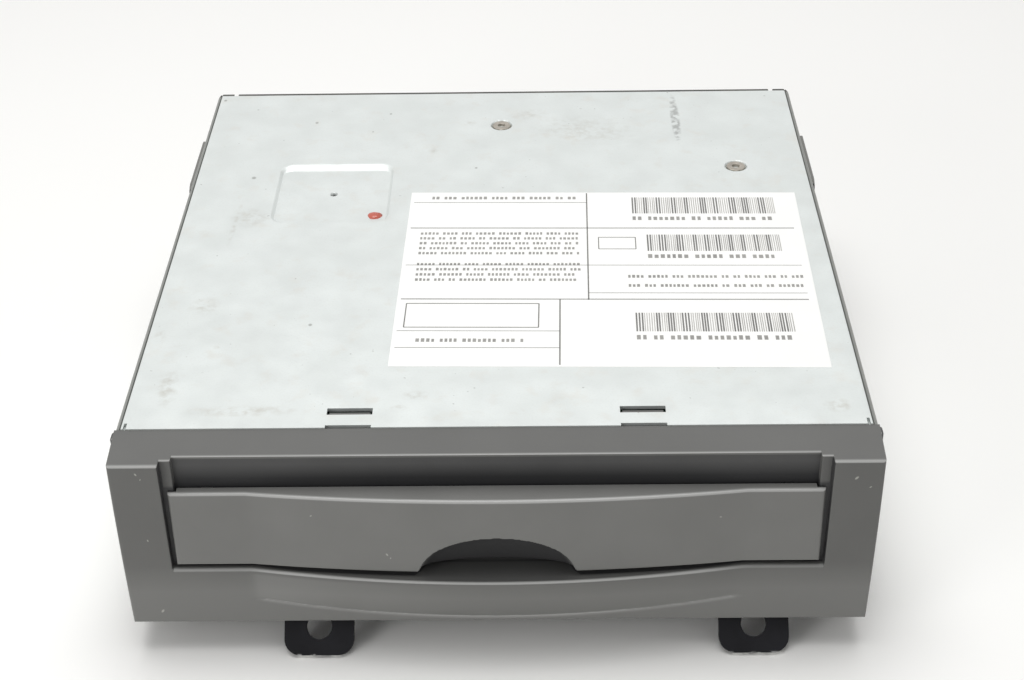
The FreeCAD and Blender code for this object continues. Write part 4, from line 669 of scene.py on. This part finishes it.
# Top cover: one zinc-plated steel sheet, 1 mm thick, its sides folded down over the chassis.
# A shallow square is pressed into it over the processor, and two slots take the fascia's snap arms.
cover_half, cover_back, cover_foot = 89.4, cover_high.y / MM - front_y, cover_low.z / MM
bend_radius, sheet, rear_corner = 2.1, 1.0, 1.6
press_x, press_y, press_half_x, press_half_y = -47.6, 124.35, 16.25, 16.55
press_corner, press_deep = 4.0, 0.95
pin_y, pin_radius, pin_deep = 124.7, 1.05, 0.9
screw_spots, sink_radius, sink_deep = ((-0.2, 164.2), (68.0, 137.5)), 3.3, 0.85
catch_half, slot_back, notch_deep = 5.4, 21.3, 0.9
relief_in, relief_out, relief_deep = 86.6, 87.3, 2.2
rear_notch_in, rear_notch_out, rear_notch_deep = 82.8, 84.2, 1.3


def pressed_square(x, y):
    """How far the square is pressed in, from none to one: its outline has rounded corners, its
    wall is steep at the sides and in front and eases down over a longer run at the rear."""
    over_x = np.abs(x - press_x) - press_half_x + press_corner
    over_y = np.abs(y - press_y) - press_half_y + press_corner
    outside = np.hypot(np.maximum(over_x, 0), np.maximum(over_y, 0))
    inside = press_corner - outside - np.minimum(np.maximum(over_x, over_y), 0)
    at_corner = (over_x > 0) & (over_y > 0)
    rearward = np.where(at_corner, over_y / np.maximum(outside, 0.01), over_y > over_x) * (y > press_y)
    return eased(inside, -0.3, 0.7 + 2.5 * rearward)


def cover_dent(x, y):
    """Depth below the flat sheet: the pressed square, its pin hole and the screws' sinks."""
    dent = press_deep * pressed_square(x, y)
    dent += pin_deep * eased(-np.hypot(x - press_x, y - pin_y), -pin_radius, 0.2 - pin_radius)
    for spot_x, spot_y in screw_spots:
        dent += sink_deep * eased(-np.hypot(x - spot_x, y - spot_y), -sink_radius, 0.55 - sink_radius)
    return dent


def wall_lines(centre, half):
    """Grid clusters over the two walls of the pressed square along one axis."""
    return (centre - half - 1, centre - half + 5, 25), (centre + half - 5, centre + half + 1, 25)


top_lines = grid_lines(
    -cover_half + bend_radius, cover_half - bend_radius, 3.0,
    *wall_lines(press_x, press_half_x), around(press_x, 1.5, 13),
    *[around(spot_x, 3.6, 25) for spot_x, _ in screw_spots],
    *[line for edge in (snap_x - catch_half, snap_x + catch_half, rear_notch_in, rear_notch_out,
                        relief_in, relief_out) for line in sides(edge, 0)],
)
seam_turn, seam_half, seam_deep = math.radians(70), math.radians(4.5), 0.35
turn = np.radians([15, 30, 45, 58, 65, 65.7, 70, 74.3, 75, 82])
bend_top, flange_rows = cover_top - bend_radius, 8
flange = np.linspace(cover_foot, bend_top, flange_rows)
bend_x = cover_half - bend_radius + bend_radius * np.cos(turn)
bend_z = bend_top + bend_radius * np.sin(turn)
flank = np.full(flange_rows, cover_half)
across_x = np.concatenate([-flank, -bend_x, top_lines, bend_x[::-1], flank])
across_z = np.concatenate([flange, bend_z, np.full(len(top_lines), cover_top), bend_z[::-1], flange[::-1]])
in_x = np.clip(across_x, -cover_half + bend_radius, cover_half - bend_radius)
in_z = np.minimum(across_z, bend_top)
out_x, out_z = across_x - in_x, across_z - in_z
length = np.hypot(out_x, out_z)
out_x, out_z = out_x / length, out_z / length
along = grid_lines(
    fascia_depth, cover_back, 3.0, (cover_back - rear_corner, cover_back, 9),
    (fascia_depth + notch_deep, fascia_depth + relief_deep, 2), (slot_front, slot_back, 2),
    *wall_lines(press_y, press_half_y), around(pin_y, 1.5, 13),
    *[around(spot_y, 3.6, 25) for _, spot_y in screw_spots],
    (cover_back - rear_notch_deep, cover_back, 2),
)
x, y = np.meshgrid(across_x, along, indexing="ij")
flat = np.abs(out_x) < 0.01
seam = np.abs(np.arctan2(out_z, np.abs(out_x)) - seam_turn) < seam_half
dent = np.where(flat[:, None], cover_dent(x, y), seam_deep * seam[:, None] + 0 * y)
middle_y = (y[:-1, :-1] + y[1:, 1:]) / 2
past = np.clip(np.abs(x) - (cover_half - rear_corner), 0, rear_corner)
y = np.minimum(y, cover_back - rear_corner + np.sqrt(rear_corner ** 2 - past ** 2))
outer = np.stack([x - out_x[:, None] * dent, y + front_y, across_z[:, None] - out_z[:, None] * dent], -1)
inner = outer - sheet * np.stack([out_x[:, None] + 0 * y, 0 * y, out_z[:, None] + 0 * y], -1)
middle_reach = np.abs(x[:-1, :-1] + x[1:, 1:]) / 2
at_snap = np.abs(middle_reach - snap_x) < catch_half
hole = at_snap & (middle_y > slot_front) & (middle_y < slot_back)
hole |= at_snap & (middle_y < fascia_depth + notch_deep)
hole |= (middle_reach > relief_in) & (middle_reach < relief_out) & (middle_y < fascia_depth + relief_deep)
at_notch = (middle_reach > rear_notch_in) & (middle_reach < rear_notch_out)
hole |= at_notch & (middle_y > cover_back - rear_notch_deep)
cover = piece_from("cover_sheet", *slab(outer, inner, ~hole))


def zinc_finish(name):
    """Zinc-plated sheet: pale and satin with a fine grain, faint brown clouds and tiny dark pits."""
    finish, tree, shader = new_finish(name, (0.70, 0.735, 0.72), 0.4, 0.5)
    lay_over(tree, (0.69, 0.722, 0.708), noise(tree, 11, 3, 0.35, 0.65), (0.65, 0.68, 0.665))
    for colour, share, size, detail, low, high in (
        ((0.60, 0.62, 0.60), 0.30, 0.55, 2, 0.52, 0.72),
        ((0.62, 0.60, 0.55), 0.35, 5.0, 6, 0.56, 0.74),
        ((0.16, 0.15, 0.13), 0.40, 1.5, 1, 0.79, 0.82),
    ):
        lay_over(tree, colour, reckon(tree, "MULTIPLY", noise(tree, size, detail, low, high), share))
    tree.links.new(noise(tree, 6, 4, 0.3, 0.7, 0.36, 0.46), shader.inputs["Roughness"])
    lift_by(tree, noise(tree, 0.5, 3, 0.3, 0.7), 0.02, 0.4)
    return finish


def handled_and_shaded_cover():
    """The cover's own sheet: stains, a scuff and pits where it was handled, painted shade in its pin
    hole, and painted shade in dark lines along its side bends and its rear edge."""
    finish = zinc_finish("zinc_cover")
    tree = finish.node_tree
    stains = (
        (-69.4, 110.3, 6.5, 5.5, -0.6, 0.5), (-73.4, 107.3, 1.0, 13.0, -0.043, 0.45),
        (-75.7, 66.0, 5.0, 4.5, 0.4, 0.5), (-85.0, 52.4, 1.8, 4.0, 0.2, 0.5),
        (-69.9, 47.3, 1.2, 1.2, 0, 0.6), (-20.0, 148.2, 2.0, 2.6, 0.3, 0.4),
        (-19.5, 26.4, 4.0, 2.0, 0.1, 0.5), (-9.8, 165.8, 2.4, 2.2, 0, 0.4),
        (25.0, 160.5, 18.0, 10.0, -0.15, 0.4), (-23.3, 21.3, 2.6, 1.4, 0, 0.5),
        (80.7, 21.1, 4.0, 3.2, 0, 0.7), (78.0, 80.7, 1.6, 10.0, 0.1, 0.4),
        (-60.0, 20.5, 16.0, 2.5, 0, 0.55), (-79.5, 30.0, 3.0, 10.0, 0.1, 0.6),
        (8.0, 171.0, 7.0, 4.0, 0.2, 0.35),
    )
    stained = 0.0
    for x, y, wide, deep, tilt, amount in stains:
        stain = spot(tree, (x, y + front_y, 0), (wide, deep, endless), (0, 0, tilt), 0.9)
        stained = reckon(tree, "MAXIMUM", reckon(tree, "MULTIPLY", stain, amount), stained)
    stained = reckon(tree, "MULTIPLY", stained, noise(tree, 2.4, 6, 0.42, 0.66))
    lay_over(tree, (0.40, 0.37, 0.31), stained)
    scuff = spot(tree, (52.5, 167.6 + front_y, 0), (1.6, 17.0, endless), soft=0.4)
    scuff = reckon(tree, "MULTIPLY", scuff, noise(tree, 2.0, 3, 0.42, 0.58))
    lay_over(tree, (0.34, 0.35, 0.34), reckon(tree, "MULTIPLY", scuff, 0.8))
    pitted = 0.0
    for x, y, size in ((-71.4, 133.0, 0.8), (-47.6, 56.8, 0.6), (-56.4, 166.8, 0.6), (-34.2, 172.2, 0.5),
                       (-7.3, 137.7, 0.5), (-15.1, 111.0, 0.6), (-86.4, 182.3, 0.6)):
        pit = spot(tree, (x, y + front_y, 0), (size, size * 1.2, endless), soft=0.5)
        pitted = reckon(tree, "MAXIMUM", pit, pitted)
    lay_over(tree, (0.12, 0.11, 0.09), reckon(tree, "MULTIPLY", pitted, 0.5))
    # Painted shade: the shallow pin hole is painted near black.
    pin_hole_shade = spot(tree, (press_x, pin_y + front_y, 0), (1.0, 1.0, endless), soft=0.3)
    lay_over(tree, (0.03, 0.03, 0.03), pin_hole_shade)
    # Painted shade: a dark line along each side bend.
    bend_shade = reckon(tree, "MULTIPLY", along_axis(tree, "Z", cover_top - 3.2, cover_top - 1.7),
                     along_axis(tree, "X", cover_half - 1.66, cover_half - 1.54, mirrored=True))
    lay_over(tree, (0.19, 0.195, 0.18), reckon(tree, "MULTIPLY", bend_shade, 0.92))
    # Painted shade: a dark line along the rear edge.
    rear_shade_line = cover_back + front_y - 1.25
    lay_over(tree, (0.05, 0.05, 0.04), along_axis(tree, "Y", rear_shade_line - 0.12, rear_shade_line + 0.12))
    # Painted shade: two broader dark bands along the rear edge.
    thick = 0.0
    for low, high in ((-82.4, -69.5), (44.5, 57.9)):
        middle = ((low + high) / 2, cover_back + front_y - 0.4, 0)
        band = spot(tree, middle, ((high - low) / 2, 1.0, endless), soft=0.3)
        thick = reckon(tree, "MAXIMUM", band, thick)
    lay_over(tree, (0.04, 0.04, 0.035), thick)
    return finish


cover.data.materials.append(handled_and_shaded_cover())
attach(cover, "root")
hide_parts("top_cover")
dress(zinc_finish("zinc_sheet"), "chassis", "rear_panel", "drive_frame", "mode_slider", "receiver_shield")


# Paint dot: an inspector's drop of red-brown paint, dried on the corner of the pressed square
# as a low glossy dome.
def drop_of_paint(x, y, radius, height):
    """A low dome whose outline wavers a little: height falls from the middle as a circle's arc."""
    angle, share = np.meshgrid(np.linspace(0, 2 * math.pi, 37), np.linspace(0, 1, 9), indexing="ij")
    waver = 0.06 * np.sin(3 * angle + 0.6) + 0.03 * np.sin(5 * angle) + 0.08 * np.cos(2 * angle)
    reach = radius * share * (1 + waver)
    top_z = cover_top - press_deep - 0.01 + height * np.sqrt(1 - share ** 2)
    top = np.stack([x + reach * np.cos(angle), y + front_y + reach * np.sin(angle), top_z], -1)
    return slab(top, top * (1, 1, 0) + (0, 0, cover_top - press_deep - 0.05))


paint_dot = piece_from("paint_dot", *drop_of_paint(-35.1, 112.4, 1.9, 0.8), smooth=60)
paint_dot.data.materials.append(moulding("dried_paint", (0.52, 0.11, 0.07), 0.12, grain=0.8, relief=0.01))
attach(paint_dot, "root")


# Rating label: a white film stuck on the cover, a little askew, printed with plain rules,
# strips of bars and rows of blank blocks.
label_x, label_y, label_turn = 28.1, 79.9, math.radians(-1.04)
label_wide, label_deep = 108.2, 85.2
film_lift, print_lift, film_rim = 0.11, 0.139, 0.1


def laid_film(x, y):
    """Height of the film over the cover: flat, its rim pressed down in a quarter circle."""
    inward = np.minimum(label_wide / 2 - np.abs(x), label_deep / 2 - np.abs(y))
    return cover_top + film_lift - 0.5 * rolled_edge(inward, film_rim)


def on_cover(x, y, z):
    """Points on the cover from places on the label: turned by the label's slant, then moved."""
    flat_x = label_x + x * math.cos(label_turn) - y * math.sin(label_turn)
    flat_y = label_y + x * math.sin(label_turn) + y * math.cos(label_turn) + front_y
    return np.stack([flat_x, flat_y, np.broadcast_to(z, flat_x.shape)], -1)


film_lines = [np.concatenate([np.linspace(-half, film_rim - half, 4),
                              np.linspace(0.2 - half, half - 0.2, 30),
                              np.linspace(half - film_rim, half, 4)])
              for half in (label_wide / 2, label_deep / 2)]
x, y = np.meshgrid(*film_lines, indexing="ij")
label_film = piece_from("label_film", *slab(on_cover(x, y, laid_film(x, y)), on_cover(x, y, cover_top)))
label_film.data.materials.append(
    moulding("label_film", (0.93, 0.93, 0.91), 0.38, grain=1.2, relief=0.01, wander=0.01))
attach(label_film, "root")
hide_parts("rating_label")
rng = np.random.default_rng(11)
lines, pale_lines, rows = [], [], []


def mark(x0, x1, y0, y1, sheet=lines):
    """Notes one printed rectangle by where it would lie on the cover were the label not askew."""
    sheet.append((x0 - label_x, x1 - label_x, y0 - label_y, y1 - label_y))


def bar_strip(x0, x1, y0, y1):
    """A strip of upright bars: a few broad ones, then a few thin pale ones, over and over."""
    x = x0
    while x < x1:
        for width, sheet in [(0.42, lines)] * rng.integers(2, 4) + [(0.26, pale_lines)] * rng.integers(3, 6):
            if x + width < x1:
                mark(x, x + width, y0, y1, sheet)
            x += width + rng.choice([0.22, 0.34])


def blank_row(x0, x1, y, tall):
    """A row of small blocks in groups, as words stand in a line."""
    x = x0
    while x < x1 - 1:
        for _ in range(rng.integers(2, 8)):
            width = tall * rng.uniform(0.36, 0.5)
            if x + width > x1:
                break
            mark(x, x + width, y, y + tall * rng.uniform(0.7, 0.85), rows)
            x += width + tall * 0.26
        x += tall * 0.55


def rule(x0, x1, y0, y1, thick):
    """A ruled line from corner to corner along x or y."""
    if x0 == x1:
        mark(x0 - thick / 2, x0 + thick / 2, y0, y1)
    else:
        mark(x0, x1, y0 - thick / 2, y0 + thick / 2)


def print_label():
    """Rules, framed boxes, bar strips and blank rows, laid out by depth and width on the cover."""
    left, right, split, low_split = -25.0, 80.0, 23.5, 16.1
    bold, fine = 0.35, 0.18
    rule(split, split, 67.0, 122.0, bold)
    rule(low_split, low_split, 38.0, 67.3, bold)
    for y, x0, x1, thick in ((116.8, left, split, fine), (102.9, left, right, bold),
                             (83.8, left, right, fine), (70.3, split, right, fine), (67.3, left, right, bold),
                             (52.7, left, low_split, fine), (45.3, left, low_split, fine)):
        rule(x0, x1, y, y, thick)
    for x0, x1, y0, y1 in ((36.1, 76.2, 110.8, 119.6), (39.6, 75.7, 91.0, 99.4), (35.3, 75.4, 52.6, 61.0)):
        bar_strip(x0, x1, y0, y1)
        blank_row(x0, x1, y0 - 3.6, 2.3)
    for y in (77.6, 73.2):
        blank_row(34, right, y, 1.6)
    for row in range(9):
        blank_row(-22, split - 1.5, 99.4 - 2.55 * row - (3 if row > 4 else 0), 1.5)
    blank_row(-20, split - 3, 118.6, 1.8)
    blank_row(-20, 8, 47.8, 1.8)
    for thick, x0, x1, y0, y1 in ((0.3, -23.4, 10.7, 54.3, 65.2), (0.25, 26.5, 36.5, 92.0, 98.0)):
        for x in (x0, x1):
            rule(x, x, y0, y1, thick)
        for y in (y0, y1):
            rule(x0, x1, y, y, thick)


def printed(boxes, low, high):
    """Thin closed plates for the printed rectangles, turned with the label."""
    corners = np.array(boxes)
    levels = [on_cover(corners[:, [0, 1, 1, 0]], corners[:, [2, 2, 3, 3]], h) for h in (low, high)]
    points = np.concatenate(levels, 1).reshape(-1, 3)
    plate = np.array([(0, 3, 2, 1), (4, 5, 6, 7), (0, 1, 5, 4), (1, 2, 6, 5), (2, 3, 7, 6), (3, 0, 4, 7)])
    quads = (plate[None] + 8 * np.arange(len(corners))[:, None, None]).reshape(-1, 4)
    return points, quads


print_label()
for name, sheet, ink in (("label_lines", lines, 0.16), ("label_pale_lines", pale_lines, 0.45),
                         ("label_rows", rows, 0.30)):
    label_print = piece_from(name, *printed(sheet, cover_top + film_lift - 0.05, cover_top + print_lift))
    label_print.data.materials.append(moulding(f"{name}_ink", (ink, ink * 0.98, ink * 0.93), 0.5, grain=0.4,
                                               relief=0.004, wander=0.2))
    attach(label_print, "root")


# Mounting bracket: folded steel, electrocoated black, its coat chipped and worn along the edges.
def bracket_coat():
    """The coat: near black, chipped to bare steel in places along the tabs' lower edge and worn
    grey on the ears' rims."""
    finish = moulding("black_ecoat", (0.010, 0.010, 0.012), 0.38, grain=0.6, relief=0.02, wander=0.3)
    tree = finish.node_tree
    tree.nodes["Principled BSDF"].inputs["Specular IOR Level"].default_value = 0.12
    chips = reckon(tree, "MULTIPLY", along_axis(tree, "Z", 1.3, 0.9), noise(tree, 2.4, 3, 0.5, 0.54))
    lay_over(tree, (0.62, 0.62, 0.60), chips)
    lay_over(tree, (0.19, 0.19, 0.18), along_axis(tree, "Z", cover_top - 3.7, cover_top - 3.5))
    return finish


dress(bracket_coat(), "mounting_bracket")

# Small mouldings: eject button, switch, sockets and sensor in black, the auxiliary socket in
# blue, gears and guides in white acetal, the turntable and sled in grey.
dress(moulding("black_moulding", (0.03, 0.03, 0.03), 0.42, grain=0.4),
      "eject_button", "eject_switch", "main_socket", "fibre_socket", "gyro_sensor")
dress(moulding("blue_moulding", (0.06, 0.16, 0.42), 0.42, grain=0.4), "aux_socket")
dress(moulding("white_acetal", (0.82, 0.82, 0.79), 0.4, grain=0.5, wander=0.04),
      "disc_guide", "clamper", "roller_gear", "reduction_gear", "motor_pinion")
dress(moulding("grey_acetal", (0.22, 0.22, 0.23), 0.42, grain=0.5), "turntable", "pickup_sled")

# Soft trim: felt strips in the slot, the feed roller's rubber sleeve and the dampers' grommets.
dress(moulding("black_felt", (0.035, 0.035, 0.035), 0.95, grain=0.25, relief=0.2, wander=0.4), "slot_felts")
dress(moulding("black_rubber", (0.04, 0.04, 0.04), 0.75, grain=0.3, relief=0.04),
      "feed_roller", "rubber_dampers")

# Boards: green solder resist over glass cloth, with black chips, a grey thermal pad and a
# pale film ribbon between the two.
dress(moulding("solder_resist", (0.02, 0.16, 0.07), 0.3, grain=0.7, relief=0.015, wander=0.2),
      "main_board", "front_board", "drive_board")
dress(moulding("epoxy_chip", (0.025, 0.025, 0.027), 0.55, grain=0.2, relief=0.02),
      "processor", "memory_chips")
dress(moulding("thermal_gel", (0.42, 0.42, 0.45), 0.7, grain=0.8, relief=0.05), "thermal_pad")
dress(moulding("ribbon_film", (0.74, 0.72, 0.62), 0.35, grain=1.0, relief=0.01), "ribbon_cable")

# Metal parts inside: ground shafts and motor cans, the stamped arm, the die-cast plate, the
# gold-flashed pins and aerial jack.
dress(moulding("ground_steel", (0.62, 0.62, 0.63), 0.22, 1.0, grain=0.4, relief=0.006, wander=0.06),
      "roller_shaft", "motor_shaft", "spindle_shaft", "clamp_pin", "clamp_leaf_spring", "guide_rods",
      "lead_screw", "loading_motor", "spindle_motor", "sled_motor", "board_standoffs", "capacitors")
dress(moulding("stamped_steel", (0.56, 0.57, 0.56), 0.36, 0.9, grain=0.7, relief=0.01), "clamp_arm")
dress(moulding("die_cast", (0.52, 0.53, 0.54), 0.5, 0.85, grain=0.5, relief=0.04), "traverse_plate")
dress(moulding("gold_flash", (0.80, 0.58, 0.22), 0.28, 1.0, grain=0.4, relief=0.004),
      "main_pins", "aux_pins", "antenna_jack")
dress(moulding("coated_lens", (0.35, 0.42, 0.62), 0.08, 0.2, grain=0.5, relief=0.001), "objective_lens")


# Screws: the cover's two have flat, faintly eight-sided heads of browned zinc with a round
# socket. All others are bright zinc.
def flat_screw(x, y, foot, top):
    """A turned solid: a profile of (radius, height) pairs swept round, its rim wavering eight
    times as a cosine of the angle does."""
    socket, under_head, stem = top - 0.9, top - 1.1, 1.4
    profile = np.array([(0, socket), (1.0, socket), (1.1, top - 0.08), (1.2, top), (2.5, top),
                        (2.65, top - 0.12), (2.7, socket), (stem, under_head), (stem, foot), (0, foot)])
    angle = np.linspace(0, 2 * math.pi, 65)
    reach = profile[:, :1] * np.where(profile[:, :1] > 2, 1 + 0.025 * np.cos(8 * angle), 1)
    height = np.broadcast_to(profile[:, 1:], reach.shape)
    points = np.stack([x + reach * np.cos(angle), y + front_y + reach * np.sin(angle), height], -1)
    number = np.arange(points[..., 0].size).reshape(reach.shape)
    quads = np.stack([number[:-1, :-1], number[1:, :-1], number[1:, 1:], number[:-1, 1:]], -1)
    return points.reshape(-1, 3), quads.reshape(-1, 4)


screws_low, screws_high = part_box("cover_screws")
screw_top = min(screws_high.z / MM, cover_top)
cover_screws = piece_from("flat_screws", *together(*[
    flat_screw(x, y, screws_low.z / MM, screw_top) for x, y in screw_spots]))
cover_screws.data.materials.append(
    moulding("browned_zinc", (0.37, 0.34, 0.295), 0.45, 0.5, grain=0.5, relief=0.02, wander=0.2, blotch=2))
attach(cover_screws, "root")
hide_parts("cover_screws")
dress(moulding("bright_zinc", (0.66, 0.66, 0.65), 0.3, 1.0, grain=0.5, relief=0.01, wander=0.1, blotch=3),
      "bracket_screws", "rear_screws", "board_screws", "damper_screws", "traverse_screws")


def corners(bounds):
    """The two corners of a box as plain lists."""
    return [[float(v) for v in corner] for corner in bounds]
